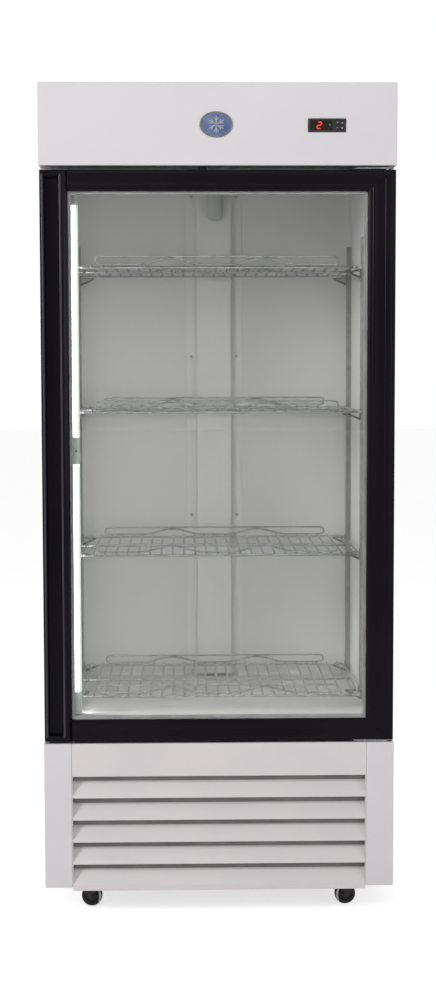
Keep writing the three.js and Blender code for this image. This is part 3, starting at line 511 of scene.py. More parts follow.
# Grey foam behind the louvres: its grey is painted shade for the gaps between the slats.
FILTER_GAP_SHADE = Finish(
    "grey filter foam, painted gap shade", "black_plastic", (0.30, 0.285, 0.285), (0.24, 0.23, 0.23),
    rough=0.95, rough_spread=0.04, grain=450, relief=0.7, drift=15,
)
# Dimmer, greener glow laid over one side of each tube: painted shade on the lamp.
DIFFUSER_SHADE_EDGE = Finish(
    "lamp edge, painted shade", "lamp_diffuser", (0.72, 0.78, 0.75), (0.66, 0.72, 0.69),
    rough=0.5, grain=200, relief=0.0, glow=0.55, kind=Kind.GLOW,
)
TYRE = Finish(
    "caster tyre rubber", "caster_rubber", (0.012, 0.012, 0.012), (0.02, 0.019, 0.018),
    rough=0.55, grain=500, relief=0.2, drift=60, dust=0.12,
)
COPPER = Finish(
    "copper pipe", "zinc_plated_steel", (0.62, 0.30, 0.18), (0.45, 0.20, 0.12),
    rough=0.3, metal=1.0, grain=300, relief=0.05, drift=60,
)
FIN_METAL = Finish(
    "fin aluminium", "galvanised_steel", (0.58, 0.59, 0.60), (0.46, 0.47, 0.48),
    rough=0.4, metal=0.9, grain=200, relief=0.03, drift=20, dust=0.15,
)
STUDIO_FLOOR = Finish(
    "pale studio floor", "white_paint", (0.93, 0.93, 0.93), (0.92, 0.92, 0.92),
    rough=0.9, grain=30, relief=0.0, glow=0.76, kind=Kind.GLOW,
)


# ---------------------------------------------------------------- workbench
class Bench:
    """Making and joining meshes with Blender's own operators."""

    @staticmethod
    def clear() -> None:
        """Leaves edit mode and deselects everything."""
        active = bpy.context.view_layer.objects.active
        if active is not None and active.mode != "OBJECT":
            bpy.ops.object.mode_set(mode="OBJECT")
        bpy.ops.object.select_all(action="DESELECT")

    @staticmethod
    def take(piece: Piece) -> None:
        """Makes one piece the only selected and the active one."""
        Bench.clear()
        piece.select_set(True)
        bpy.context.view_layer.objects.active = piece

    @staticmethod
    @contextmanager
    def editing(piece: Piece) -> Iterator[None]:
        """Edit mode on one piece, left again at the end."""
        Bench.take(piece)
        bpy.ops.object.mode_set(mode="EDIT")
        yield
        bpy.ops.object.mode_set(mode="OBJECT")

    @staticmethod
    def named(name: str) -> Piece:
        """Names the new primitive and puts its place into its mesh."""
        piece = bpy.context.active_object
        piece.name = name
        piece.data.name = name
        bpy.ops.object.transform_apply(location=True, rotation=True, scale=True)
        return piece

    @staticmethod
    def block(name: str, lo: Vector, hi: Vector) -> Piece:
        """A box between two corners, ready to be shaped.

        Args:
            name: Piece name.
            lo: Lowest corner.
            hi: Highest corner.

        Returns:
            The new piece.
        """
        lo, hi = Vector(lo), Vector(hi)
        Bench.clear()
        bpy.ops.mesh.primitive_cube_add(size=1, location=(lo + hi) / 2, scale=hi - lo)
        return Bench.named(name)

    @staticmethod
    def rod(
        name: str, centre: Vector, axis: Axis, radius: float, length: float, sides: int = 32
    ) -> Piece:
        """A round bar about its middle, ready to be shaped.

        Args:
            name: Piece name.
            centre: Middle of the rod.
            axis: Direction it runs in.
            radius: Outer radius.
            length: Full length.
            sides: Faces round it.

        Returns:
            The new piece.
        """
        Bench.clear()
        bpy.ops.mesh.primitive_cylinder_add(
            vertices=sides, radius=radius, depth=length, location=centre, rotation=axis.turn()
        )
        return Bench.named(name)

    @staticmethod
    def bar(
        name: str, section: Sequence[Point2], axis: Axis, start: float, end: float
    ) -> Piece:
        """A bar of constant section, drawn and then extruded.

        Args:
            name: Piece name.
            section: Corners of the section, in world order of the two other axes.
            axis: Direction it runs in.
            start: Where it starts on the axis.
            end: Where it ends on the axis.

        Returns:
            The new piece.
        """
        Bench.clear()
        bpy.ops.mesh.primitive_circle_add(
            vertices=len(section), radius=1, fill_type="NGON", location=(0, 0, 0)
        )
        piece = Bench.named(name)
        for vertex, (u, v) in zip(piece.data.vertices, section):
            vertex.co = axis.place(u, v, start)
        step = [0.0, 0.0, 0.0]
        step[axis.value] = end - start
        with Bench.editing(piece):
            bpy.ops.mesh.select_all(action="SELECT")
            bpy.ops.mesh.extrude_region_move(TRANSFORM_OT_translate={"value": step})
            bpy.ops.mesh.select_all(action="SELECT")
            bpy.ops.mesh.normals_make_consistent(inside=False)
        return piece

    @staticmethod
    def wire(
        name: str, points: Sequence[Vector], radius: float, smooth: int = 2, closed: bool = False
    ) -> Piece:
        """A round wire or pipe that follows points.

        Args:
            name: Piece name.
            points: Points on its middle line.
            radius: Wire radius.
            smooth: Extra faces round the section, 2 gives eight faces.
            closed: Whether the end meets the start.

        Returns:
            The new piece.
        """
        Bench.clear()
        bpy.ops.curve.primitive_nurbs_path_add(location=(0, 0, 0))
        path = bpy.context.active_object
        path.data.splines.clear()
        spline = path.data.splines.new("POLY")
        spline.points.add(len(points) - 1)
        for point, place in zip(spline.points, points):
            point.co = (*place, 1)
        spline.use_cyclic_u = closed
        path.data.bevel_depth = radius
        path.data.bevel_resolution = smooth
        path.data.use_fill_caps = not closed
        bpy.ops.object.convert(target="MESH")
        piece = Bench.named(name)
        Bench.tidy(piece)
        bpy.ops.object.shade_smooth_by_angle(angle=math.radians(50))
        return piece

    @staticmethod
    def tidy(piece: Piece, distance: float = 1e-6) -> None:
        """Merges doubled points and turns every face outwards."""
        with Bench.editing(piece):
            bpy.ops.mesh.select_all(action="SELECT")
            bpy.ops.mesh.remove_doubles(threshold=distance)
            bpy.ops.mesh.normals_make_consistent(inside=False)

    @staticmethod
    def modify(piece: Piece, kind: str, **settings: object) -> None:
        """Adds one modifier with its settings and applies it."""
        Bench.take(piece)
        bpy.ops.object.modifier_add(type=kind)
        modifier = piece.modifiers[-1]
        for key, value in settings.items():
            setattr(modifier, key, value)
        bpy.ops.object.modifier_apply(modifier=modifier.name)

    @staticmethod
    def soften(
        piece: Piece, width: float, segments: int = 3, angle: float = 30.0, smooth: float = 14.0
    ) -> Piece:
        """Rounds every edge sharper than an angle, and shades the faces smoothly.

        Args:
            piece: The piece.
            width: Width of the rounding.
            segments: Steps across it.
            angle: Smallest angle that counts as an edge, in degrees.
            smooth: Largest angle that is shaded as round, in degrees.

        Returns:
            The same piece.
        """
        Bench.modify(
            piece, "BEVEL", width=width, segments=segments, limit_method="ANGLE",
            angle_limit=math.radians(angle), use_clamp_overlap=True,
        )
        Bench.shade(piece, smooth)
        return piece

    @staticmethod
    def shade(piece: Piece, smooth: float = 14.0) -> None:
        """Shades round faces smoothly and keeps wide faces flat."""
        Bench.take(piece)
        bpy.ops.object.shade_smooth_by_angle(angle=math.radians(smooth))

    @staticmethod
    def shade_flat(piece: Piece) -> None:
        """Shades every face flat."""
        Bench.take(piece)
        bpy.ops.object.shade_flat()

    @staticmethod
    def cut(piece: Piece, *cutters: Piece) -> Piece:
        """Cuts the cutters out of a piece and throws them away."""
        for cutter in cutters:
            Bench.modify(piece, "BOOLEAN", operation="DIFFERENCE", solver="EXACT", object=cutter)
            bpy.data.objects.remove(cutter)
        return piece

    @staticmethod
    def join(name: str, pieces: Sequence[Piece]) -> Piece:
        """Makes several pieces into one.

        Args:
            name: Name of the whole.
            pieces: What goes into it.

        Returns:
            The joined piece.
        """
        Bench.take(pieces[0])
        for piece in pieces:
            piece.select_set(True)
        bpy.ops.object.join()
        whole = bpy.context.active_object
        whole.name = name
        whole.data.name = name
        return whole

    @staticmethod
    def copy(piece: Piece, name: str, change: Matrix | Vector) -> Piece:
        """A copy with its own mesh, moved or turned into its place.

        Args:
            piece: What is copied.
            name: Name of the copy.
            change: A step, or a full transform.

        Returns:
            The copy.
        """
        other = piece.copy()
        other.data = piece.data.copy()
        other.name = name
        other.data.name = name
        bpy.context.scene.collection.objects.link(other)
        matrix = change if isinstance(change, Matrix) else Matrix.Translation(change)
        other.data.transform(matrix)
        if matrix.determinant() < 0:
            other.data.flip_normals()
        return other

    @staticmethod
    def bevel_where(
        piece: Piece, test: Callable[[Vector, Vector], bool], width: float, segments: int = 3
    ) -> Piece:
        """Rounds the edges that a test picks by their two ends.

        Args:
            piece: The piece.
            test: Says whether an edge between two points is rounded.
            width: Width of the rounding.
            segments: Steps across it.

        Returns:
            The same piece.
        """
        with Bench.editing(piece):
            bpy.ops.mesh.select_mode(type="EDGE")
            bpy.ops.mesh.select_all(action="DESELECT")
            mesh = bmesh.from_edit_mesh(piece.data)
            for edge in mesh.edges:
                edge.select = test(edge.verts[0].co, edge.verts[1].co)
            bmesh.update_edit_mesh(piece.data)
            bpy.ops.mesh.bevel(offset=width, segments=segments, affect="EDGES")
            bpy.ops.mesh.select_mode(type="VERT")
        return piece

    @staticmethod
    def select_faces(piece: Piece, test: Callable[[Vector, Vector], bool]) -> None:
        """Selects, in edit mode, the faces that a test picks by middle and normal."""
        bpy.ops.mesh.select_mode(type="FACE")
        bpy.ops.mesh.select_all(action="DESELECT")
        mesh = bmesh.from_edit_mesh(piece.data)
        for face in mesh.faces:
            face.select = test(face.calc_center_median(), face.normal)
        bmesh.update_edit_mesh(piece.data)

    @staticmethod
    def refined(
        node: str, name: str, edge: float, segments: int = 3, angle: float = 30.0,
        smooth: float = 14.0,
    ) -> Piece:
        """A copy of a CAD node with its loose triangles merged and its edges rounded.

        Args:
            node: CAD node.
            name: Name of the new piece.
            edge: Width of the rounding.
            segments: Steps across it.
            angle: Smallest angle that counts as an edge, in degrees.
            smooth: Largest angle that is shaded as round, in degrees.

        Returns:
            The new piece.
        """
        piece = Bench.merged(node, name)
        Bench.soften(piece, edge, segments, angle, smooth)
        return piece

    @staticmethod
    def merged(node: str, name: str) -> Piece:
        """A copy of a CAD node whose flat faces are whole again."""
        source = frame["nodes"][node]
        piece = source.copy()
        piece.data = source.data.copy()
        for key in list(piece.keys()):
            del piece[key]
        piece.parent = None
        piece.name = name
        piece.data.name = name
        piece.data.materials.clear()
        bpy.context.scene.collection.objects.link(piece)
        Bench.take(piece)
        bpy.ops.mesh.customdata_custom_splitnormals_clear()
        with Bench.editing(piece):
            bpy.ops.mesh.select_all(action="SELECT")
            bpy.ops.mesh.remove_doubles(threshold=mm(0.005))
            bpy.ops.mesh.dissolve_limited(angle_limit=math.radians(0.5))
        return piece

    @staticmethod
    def folded_box(name: str, span: Span, sheet: float, radius: float) -> Piece:
        """A folded sheet cover with rounded bends, open at its back.

        Args:
            name: Piece name.
            span: Outer box.
            sheet: Sheet thickness.
            radius: Outer bend radius.

        Returns:
            The new piece.
        """
        piece = Bench.block(name, span.lo, span.hi)
        with Bench.editing(piece):
            Bench.select_faces(piece, lambda middle, normal: normal.y > 0.9)
            bpy.ops.mesh.delete(type="FACE")

        def bends(a: Vector, b: Vector) -> bool:
            """Front edges and the four that run back."""
            return a.y < span.centre.y or b.y < span.centre.y

        Bench.bevel_where(piece, bends, radius, 4)
        Bench.modify(piece, "SOLIDIFY", thickness=sheet, offset=-1.0, use_even_offset=True)
        Bench.shade(piece, 9)
        return piece

    @staticmethod
    def dress(
        piece: Piece, finish: Finish, body: str, *nodes: str, slot: str | None = None
    ) -> Piece:
        """Gives a piece its finish, its body and the CAD nodes it stands for.

        Args:
            piece: The piece.
            finish: Its finish.
            body: CAD body that carries it.
            nodes: CAD nodes that it replaces.
            slot: The record's slot, if it isn't the finish's own; not used.

        Returns:
            The same piece.
        """
        piece.data.materials.clear()
        piece.data.materials.append(finish.material())
        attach(piece, body)
        if nodes:
            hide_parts(*nodes)
        LOG.info("%s: %s on %s, %d faces", piece.name, finish.name, body, len(piece.data.polygons))
        return piece

    @staticmethod
    def coat(node: str, finish: Finish) -> None:
        """Gives a CAD node that is kept its finish."""
        shown = frame["nodes"][node]
        shown.data.materials.clear()
        shown.data.materials.append(finish.material())


@dataclass
class Screws:
    """Small pan-head screws, modelled once and copied."""

    radius: float = mm(4)
    height: float = mm(2.2)

    def head(self, name: str, axis: Axis, facing: float) -> Piece:
        """One screw head with a driver recess, at the origin.

        Args:
            name: Piece name.
            axis: Axis of the screw.
            facing: 1 or -1, the way the head faces on the axis.

        Returns:
            The head.
        """
        offset = Vector((0, 0, 0))
        shoulder = self.height * 0.85
        offset[axis.value] = facing * shoulder / 2
        head = Bench.rod(name, offset, axis, self.radius, shoulder, 12)
        with Bench.editing(head):
            Bench.select_faces(head, lambda middle, normal: normal[axis.value] * facing > 0.9)
            bpy.ops.mesh.inset(thickness=self.radius * 0.3, depth=self.height * 0.15)
            bpy.ops.mesh.inset(thickness=self.radius * 0.25, depth=0)
            step = [0.0, 0.0, 0.0]
            step[axis.value] = -facing * self.height * 0.5
            bpy.ops.mesh.extrude_region_move(TRANSFORM_OT_translate={"value": step})
        Bench.take(head)
        bpy.ops.object.shade_smooth_by_angle(angle=math.radians(35))
        return head

    def row(
        self, name: str, places: Sequence[Vector], axis: Axis, facing: float, body: str
    ) -> Piece:
        """Screws at many places, as one dressed piece.

        Args:
            name: Piece name.
            places: Where each head sits.
            axis: Axis of the screws.
            facing: The way the heads face.
            body: Body that carries them.

        Returns:
            The joined screws.
        """
        pattern = self.head(f"{name}_pattern", axis, facing)
        heads = [
            Bench.copy(pattern, f"{name}_{index}", Vector(place))
            for index, place in enumerate(places)
        ]
        bpy.data.objects.remove(pattern)
        return Bench.dress(Bench.join(name, heads), ZINC, body)


# ---------------------------------------------------------------- cabinet
@dataclass
class Cabinet:
    """Outer case, liner, breaker strip and header."""

    sheet: float = mm(1.5)
    fold: float = mm(2.4)
    corner: float = mm(7)
    back_screw_inset: float = mm(10)

    def build(self) -> None:
        """Builds every piece of the cabinet body."""
        Bench.dress(
            Bench.refined("outer_case", "case_wrap", mm(0.6)), WHITE_PAINT, "cabinet", "outer_case"
        )
        Bench.coat("foam_insulation", FOAM)
        Bench.dress(
            Bench.refined("breaker_frame", "breaker_strip", mm(0.5)),
            TRIM_PLASTIC, "cabinet", "breaker_frame", slot="white_paint",
        )
        self.build_liner()
        self.build_header()
        self.build_back()
        self.build_switch()

    def build_liner(self) -> None:
        """Liner with rounded inner corners."""
        liner = Bench.merged("inner_liner", "liner_shell")
        span = Span.of("inner_liner").inner(self.sheet)
        front = span.lo.y

        def inner_corner(a: Vector, b: Vector) -> bool:
            """Edges inside the shell, away from the door mouth."""
            near = mm(0.1)

            def inside(p: Vector) -> bool:
                """True for a point on the inner skin."""
                return abs(abs(p.x) - span.hi.x) < near and p.y > front + near * 2

            if not (inside(a) and inside(b)):
                return False
            across = abs(a.x - b.x) > near
            return across or abs(a.x - span.hi.x) < near or abs(a.x + span.hi.x) < near

        Bench.bevel_where(liner, inner_corner, self.corner, 4)
        Bench.shade(liner, 9)
        Bench.dress(liner, LINER_SHEET, "cabinet", "inner_liner")

    def build_header(self) -> None:
        """Fascia above the door, with the opening for the control."""
        span = Span.of("header_panel")
        control = Span.of("control_unit")
        panel = Bench.folded_box("header_fascia", span, self.sheet, self.fold)
        gap = mm(3)
        hole = Bench.block(
            "header_hole",
            Vector((control.lo.x + gap, span.lo.y - gap, control.lo.z + gap)),
            Vector((control.hi.x - gap, span.lo.y + gap, control.hi.z - gap)),
        )
        Bench.cut(panel, hole)
        Bench.dress(panel, WHITE_PAINT, "cabinet", "header_panel")

    def build_back(self) -> None:
        """Back panel with a pressed field and its screws."""
        span = Span.of("back_panel")
        panel = Bench.block("back_sheet", span.lo, span.hi)
        with Bench.editing(panel):
            Bench.select_faces(panel, lambda middle, normal: normal.y > 0.9)
            bpy.ops.mesh.inset(thickness=mm(45), depth=0)
            bpy.ops.mesh.inset(thickness=mm(4), depth=-mm(0.8))
        Bench.soften(panel, mm(0.4))
        Bench.dress(panel, WHITE_PAINT, "cabinet", "back_panel")
        inset = self.back_screw_inset
        rows = 7
        places = []
        for side in (span.lo.x + inset, span.hi.x - inset):
            for index in range(rows):
                z = span.lo.z + inset + index * (span.size.z - 2 * inset) / (rows - 1)
                places.append(Vector((side, span.hi.y - mm(2.0), z)))
        for share in (0.25, 0.5, 0.75):
            x = span.lo.x + share * span.size.x
            places.append(Vector((x, span.hi.y - mm(2.0), span.hi.z - inset)))
            places.append(Vector((x, span.hi.y - mm(2.0), span.lo.z + inset)))
        Screws(height=mm(2.0)).row("back_screws", places, Axis.Y, 1, "cabinet")

    def build_switch(self) -> None:
        """Oval door switch with its plunger."""
        span = Span.of("door_switch")
        half = span.size.x / 2
        body = Bench.rod("switch_body", span.centre, Axis.Z, half, span.size.z, 28)
        body.data.transform(
            Matrix.Translation(span.centre)
            @ Matrix.Diagonal((1, span.size.y / span.size.x, 1, 1))
            @ Matrix.Translation(-span.centre)
        )
        with Bench.editing(body):
            Bench.select_faces(body, lambda middle, normal: normal.z < -0.9)
            bpy.ops.mesh.inset(thickness=mm(1.6), depth=-mm(2))
        Bench.soften(body, mm(0.5))
        Bench.dress(body, BLACK_PLASTIC, "cabinet", "door_switch")


@dataclass
class Badge:
    """Oval badge with a rim, an enamel field and a snow crystal."""

    rim: float = mm(4)
    arm: float = mm(20)
    arm_width: float = mm(2.2)

    def oval(self, name: str, span: Span, share: float, front: float, back: float) -> Piece:
        """An oval disc inside the badge's box.

        Args:
            name: Piece name.
            span: Box of the badge.
            share: Size against the box, up to 1.
            front: Front face.
            back: Back face.

        Returns:
            The disc.
        """
        count = 56
        section = []
        for index in range(count):
            angle = 2 * math.pi * index / count
            section.append(
                (
                    span.centre.x + share * span.size.x / 2 * math.cos(angle),
                    span.centre.z + share * span.size.z / 2 * math.sin(angle),
                )
            )
        return Bench.bar(name, section, Axis.Y, front, back)

    def build(self) -> None:
        """Builds the rim, the field and the crystal."""
        span = Span.of("badge")
        rim = self.oval("badge_rim", span, 1.0, span.lo.y, span.hi.y)
        inner = 1 - 2 * self.rim / span.size.z
        with Bench.editing(rim):
            Bench.select_faces(rim, lambda middle, normal: normal.y < -0.9)
            bpy.ops.mesh.inset(thickness=self.rim, depth=0)
            bpy.ops.mesh.extrude_region_move(
                TRANSFORM_OT_translate={"value": (0, mm(1.0), 0)}
            )
        Bench.soften(rim, mm(0.35), 3)
        Bench.dress(rim, SATIN_RIM, "cabinet", "badge", slot="badge_enamel")
        field = self.oval("badge_field", span, inner, span.lo.y + mm(0.5), span.lo.y + mm(0.95))
        Bench.soften(field, mm(0.15))
        Bench.dress(field, ENAMEL_BLUE, "cabinet")
        arms = []
        for index in range(3):
            arms.append(self.crystal_arm(f"badge_arm_{index}", span, index * math.pi / 3))
        crystal = Bench.join("badge_crystal", arms)
        Bench.dress(crystal, ALUMINIUM, "cabinet", slot="badge_enamel")

    def crystal_arm(self, name: str, span: Span, angle: float) -> Piece:
        """One bar of the crystal with a chevron near each end.

        Args:
            name: Piece name.
            span: Box of the badge.
            angle: Turn of the bar about the badge's middle.

        Returns:
            The bar.
        """
        half, reach = self.arm_width / 2, self.arm
        at = reach * 0.55
        tip = reach * 0.3
        outline = [
            (-half, -reach), (half, -reach), (half, -at - half), (half + tip * 0.7, -at - tip),
            (half + tip * 0.7 + half, -at - tip + half), (half, -at + 2 * half),
            (half, at - 2 * half), (half + tip * 0.7 + half, at + tip - half),
            (half + tip * 0.7, at + tip), (half, at + half), (half, reach),
            (-half, reach), (-half, at + half), (-half - tip * 0.7, at + tip),
            (-half - tip * 0.7 - half, at + tip - half), (-half, at - 2 * half),
            (-half, -at + 2 * half), (-half - tip * 0.7 - half, -at - tip + half),
            (-half - tip * 0.7, -at - tip), (-half, -at - half),
        ]
        front = span.lo.y + mm(0.2)
        piece = Bench.bar(name, outline, Axis.Y, front, front + mm(0.5))
        turn = Matrix.Rotation(angle, 4, "Y")
        piece.data.transform(Matrix.Translation((span.centre.x, 0, span.centre.z)) @ turn)
        return piece


@dataclass
class Control:
    """Digital control with its window, digit, signal light and keys."""

    window_inset: float = mm(0.5)
    digit_height: float = mm(15)
    digit_width: float = mm(9)
    stroke: float = mm(2.0)
    slant: float = 0.16

    def build(self) -> None:
        """Builds the control."""
        bezel = Bench.refined("control_unit", "control_bezel", mm(0.5), 3)
        Bench.dress(bezel, BLACK_PLASTIC, "cabinet", "control_unit")
        span = Span.of("control_unit")
        keys = [Span.of(f"key_{name}") for name in ("set", "lamp", "down", "up")]
        left_of_keys = min(key.lo.x for key in keys)
        middle = Vector((left_of_keys - mm(34.7), span.lo.y, span.centre.z))
        window = self.build_window(middle)
        self.build_digit(window)
        self.build_keys(keys)

    def build_window(self, middle: Vector) -> Span:
        """Smoked window in the bezel's recess.

        Args:
            middle: Middle of the recess, on the bezel's face.

        Returns:
            Box of the window.
        """
        half = Vector((mm(26.6), 0, mm(11.1)))
        front = middle.y + mm(0.25)
        lo = Vector((middle.x - half.x, front, middle.z - half.z))
        hi = Vector((middle.x + half.x, middle.y + mm(0.78), middle.z + half.z))
        window = Bench.block("control_window", lo, hi)
        Bench.bevel_where(
            window, lambda a, b: abs(a.y - b.y) > mm(0.2), mm(1.5), 4
        )
        Bench.dress(window, DISPLAY, "cabinet")
        return Span(lo, hi)

    def build_digit(self, window: Span) -> None:
        """A slanted seven-stroke figure and a signal light.

        Args:
            window: Box of the window.
        """
        lit = (
            ((0, 1), (1, 1)), ((1, 1), (1, 0)), ((0, 0), (1, 0)),
            ((0, 0), (0, -1)), ((0, -1), (1, -1)),
        )
        origin = Vector((window.centre.x - mm(9), 0, window.centre.z))
        front = window.lo.y - mm(0.15)
        strokes = []
        for index, (start, end) in enumerate(lit):
            strokes.append(self.digit_stroke(f"digit_stroke_{index}", origin, start, end, front))
        digit = Bench.join("control_digit", strokes)
        Bench.dress(digit, DIGIT_RED, "cabinet")
        signal = Bench.rod(
            "control_signal",
            Vector((window.hi.x - mm(6), front + mm(0.1), window.centre.z + mm(1))),
            Axis.Y, mm(2.0), mm(0.4), 16,
        )
        Bench.soften(signal, mm(0.15))
        Bench.dress(signal, SIGNAL_GREEN, "cabinet")

    def digit_stroke(
        self, name: str, origin: Vector, start: Point2, end: Point2, front: float
    ) -> Piece:
        """One pointed stroke of the figure.

        Args:
            name: Piece name.
            origin: Lower left of the figure, in its middle height.
            start: First end on the figure's grid.
            end: Second end on the grid.
            front: Front face.

        Returns:
            The stroke.
        """

        def at(point: Point2) -> Vector:
            """Grid point as a place on the window."""
            u, v = point
            z = v * self.digit_height / 2
            return Vector((u * self.digit_width + self.slant * z, z, 0))

        a, b = at(start), at(end)
        along = (b - a).normalized()
        across = Vector((-along.y, along.x, 0)) * self.stroke / 2
        a, b = a + along * mm(0.4), b - along * mm(0.4)
        nose = along * self.stroke / 2
        corners = [a, a + nose + across, b - nose + across, b, b - nose - across, a + nose - across]
        section = [(origin.x + c.x, origin.z + c.y) for c in corners]
        return Bench.bar(name, section, Axis.Y, front, front + mm(0.5))

    def build_keys(self, keys: Sequence[Span]) -> None:
        """Dished keys, each with a printed mark.

        Args:
            keys: Boxes of the set, lamp, down and up keys.
        """
        for name, span in zip(("set", "lamp", "down", "up"), keys):
            key = Bench.block(f"keycap_{name}", span.lo, span.hi)
            with Bench.editing(key):
                Bench.select_faces(key, lambda middle, normal: normal.y < -0.9)
                bpy.ops.mesh.inset(thickness=mm(1.0), depth=-mm(0.25))
            Bench.soften(key, mm(0.4), 3)
            body = f"key_{name}_body"
            Bench.dress(key, BLACK_PLASTIC, body, f"key_{name}")
            Bench.dress(self.key_mark(name, span), KEY_MARK, body)

    def key_mark(self, name: str, span: Span) -> Piece:
        """The printed mark of one key.

        Args:
            name: Which key.
            span: Its box.

        Returns:
            The mark, as a thin raised shape.
        """
        size = mm(2.2)
        shapes = {
            "set": [(-size, -mm(0.5)), (size, -mm(0.5)), (size, mm(0.5)), (-size, mm(0.5))],
            "lamp": [
                (size * 0.8 * math.cos(k * math.pi / 4), size * 0.8 * math.sin(k * math.pi / 4))
                for k in range(8)
            ],
            "down": [(-size, size * 0.6), (0, -size * 0.8), (size, size * 0.6)],
            "up": [(-size, -size * 0.6), (size, -size * 0.6), (0, size * 0.8)],
        }
        section = [(span.centre.x + u, span.centre.z + v) for u, v in shapes[name]]
        front = span.lo.y + mm(0.12)
        return Bench.bar(f"keymark_{name}", section, Axis.Y, front, front + mm(0.25))


# ---------------------------------------------------------------- base
@dataclass
class Base:
    """Posts, louvred grille, base pan and rear grille below the door."""

    sheet: float = mm(1.5)
    fold: float = mm(2.2)
    rail_height: float = mm(81)
    louvre_count: int = 5
    slat_depth: float = mm(25)
    slat_rise: float = mm(34)
    slat_lip: float = mm(4)

    def build(self) -> None:
        """Builds the base."""
        for side in ("left", "right"):
            node = f"base_post_{side}"
            post = Bench.folded_box(f"post_{side}", Span.of(node), self.sheet, self.fold)
            Bench.dress(post, WHITE_PAINT, "cabinet", node)
        self.build_louvres()
        pan = Bench.refined("base_pan", "floor_pan", mm(0.5))
        Bench.dress(pan, GALVANISED, "cabinet", "base_pan")
        rear = Bench.refined("rear_grille", "rear_vent_panel", mm(0.35))
        Bench.dress(rear, WHITE_PAINT, "cabinet", "rear_grille")
        bush = Bench.refined("cord_gland", "cord_bush", mm(0.8), smooth=30)
        Bench.dress(bush, BLACK_PLASTIC, "cabinet", "cord_gland")
        span = Span.of("rear_grille")
        inset = mm(12)
        places = [
            Vector((x, span.hi.y, z))
            for x in (span.lo.x + inset, 0, span.hi.x - inset)
            for z in (span.lo.z + inset, span.hi.z - inset)
        ]
        Screws().row("rear_vent_screws", places, Axis.Y, 1, "cabinet")

    def build_louvres(self) -> None:
        """Louvre panel: a folded rail, five slanted slats and two end plates."""
        span = Span.of("grille_panel")
        front = span.lo.y
        post_foot = Span.of("base_post_left").lo.z
        rail_foot = span.hi.z - self.rail_height
        lowest = post_foot + 2 * self.sheet
        pitch = (rail_foot + mm(1) - lowest) / self.louvre_count
        sheet = self.sheet
        rail = Bench.bar(
            "louvre_rail",
            [
                (front, rail_foot), (front + self.slat_depth / 2, rail_foot),
                (front + self.slat_depth / 2, rail_foot + sheet), (front + sheet, rail_foot + sheet),
                (front + sheet, span.hi.z - sheet), (front + self.slat_depth / 2, span.hi.z - sheet),
                (front + self.slat_depth / 2, span.hi.z), (front, span.hi.z),
            ],
            Axis.X, span.lo.x, span.hi.x,
        )
        pieces = [rail, self.slat("louvre_0", span, span.lo.z, lowest + self.slat_lip - span.lo.z)]
        for index in range(1, self.louvre_count):
            foot = lowest + index * pitch
            pieces.append(self.slat(f"louvre_{index}", span, foot, self.slat_lip))
        for name, x in (("left", span.lo.x), ("right", span.hi.x - sheet)):
            pieces.append(
                Bench.block(
                    f"louvre_end_{name}", Vector((x, front + mm(0.6), post_foot)),
                    Vector((x + sheet, span.hi.y, span.hi.z - sheet / 2)),
                )
            )
        for piece in pieces:
            Bench.soften(piece, mm(0.45))
        panel = Bench.join("louvre_panel", pieces)
        Bench.dress(panel, GRILLE_PAINT, "cabinet", "grille_panel")
        self.build_filter_gap_shade(span, post_foot, rail_foot)

    def build_filter_gap_shade(self, span: Span, low: float, high: float) -> None:
        """Grey foam dust filter that hangs behind the slats; its grey is painted shade seen through the louvre gaps.

        Args:
            span: Box of the louvre panel.
            low: Foot of the filter.
            high: Foot of the panel's rail.
        """
        front = span.lo.y + self.slat_depth + mm(0.4)
        # Grey pad behind the slats: painted shade for the louvre gaps.
        pad = Bench.block(
            "filter_gap_shade", Vector((span.lo.x + mm(3), front, low + mm(4))),
            Vector((span.hi.x - mm(3), front + mm(2.2), high + mm(12))),
        )
        with Bench.editing(pad):
            Bench.select_faces(pad, lambda middle, normal: normal.y < -0.9)
            bpy.ops.mesh.inset(thickness=mm(4), depth=0)
            bpy.ops.mesh.inset(thickness=mm(1), depth=-mm(0.5))
        Bench.soften(pad, mm(0.4))
        Bench.dress(pad, FILTER_GAP_SHADE, "cabinet")

    def slat(self, name: str, span: Span, foot: float, lip: float) -> Piece:
        """One slanted slat with its upright lip.

        Args:
            name: Piece name.
            span: Box of the panel.
            foot: Bottom of the lip.
            lip: Height of the lip.

        Returns:
            The slat.
        """
        front, sheet, bend = span.lo.y, self.sheet, foot + lip
        top = bend + self.slat_rise
        section = [
            (front, foot), (front + sheet, foot), (front + sheet, bend - sheet),
            (front + self.slat_depth, top - 2 * sheet), (front + self.slat_depth, top),
            (front, bend),
        ]
        return Bench.bar(name, section, Axis.X, span.lo.x + sheet * 0.5, span.hi.x - sheet * 0.5)


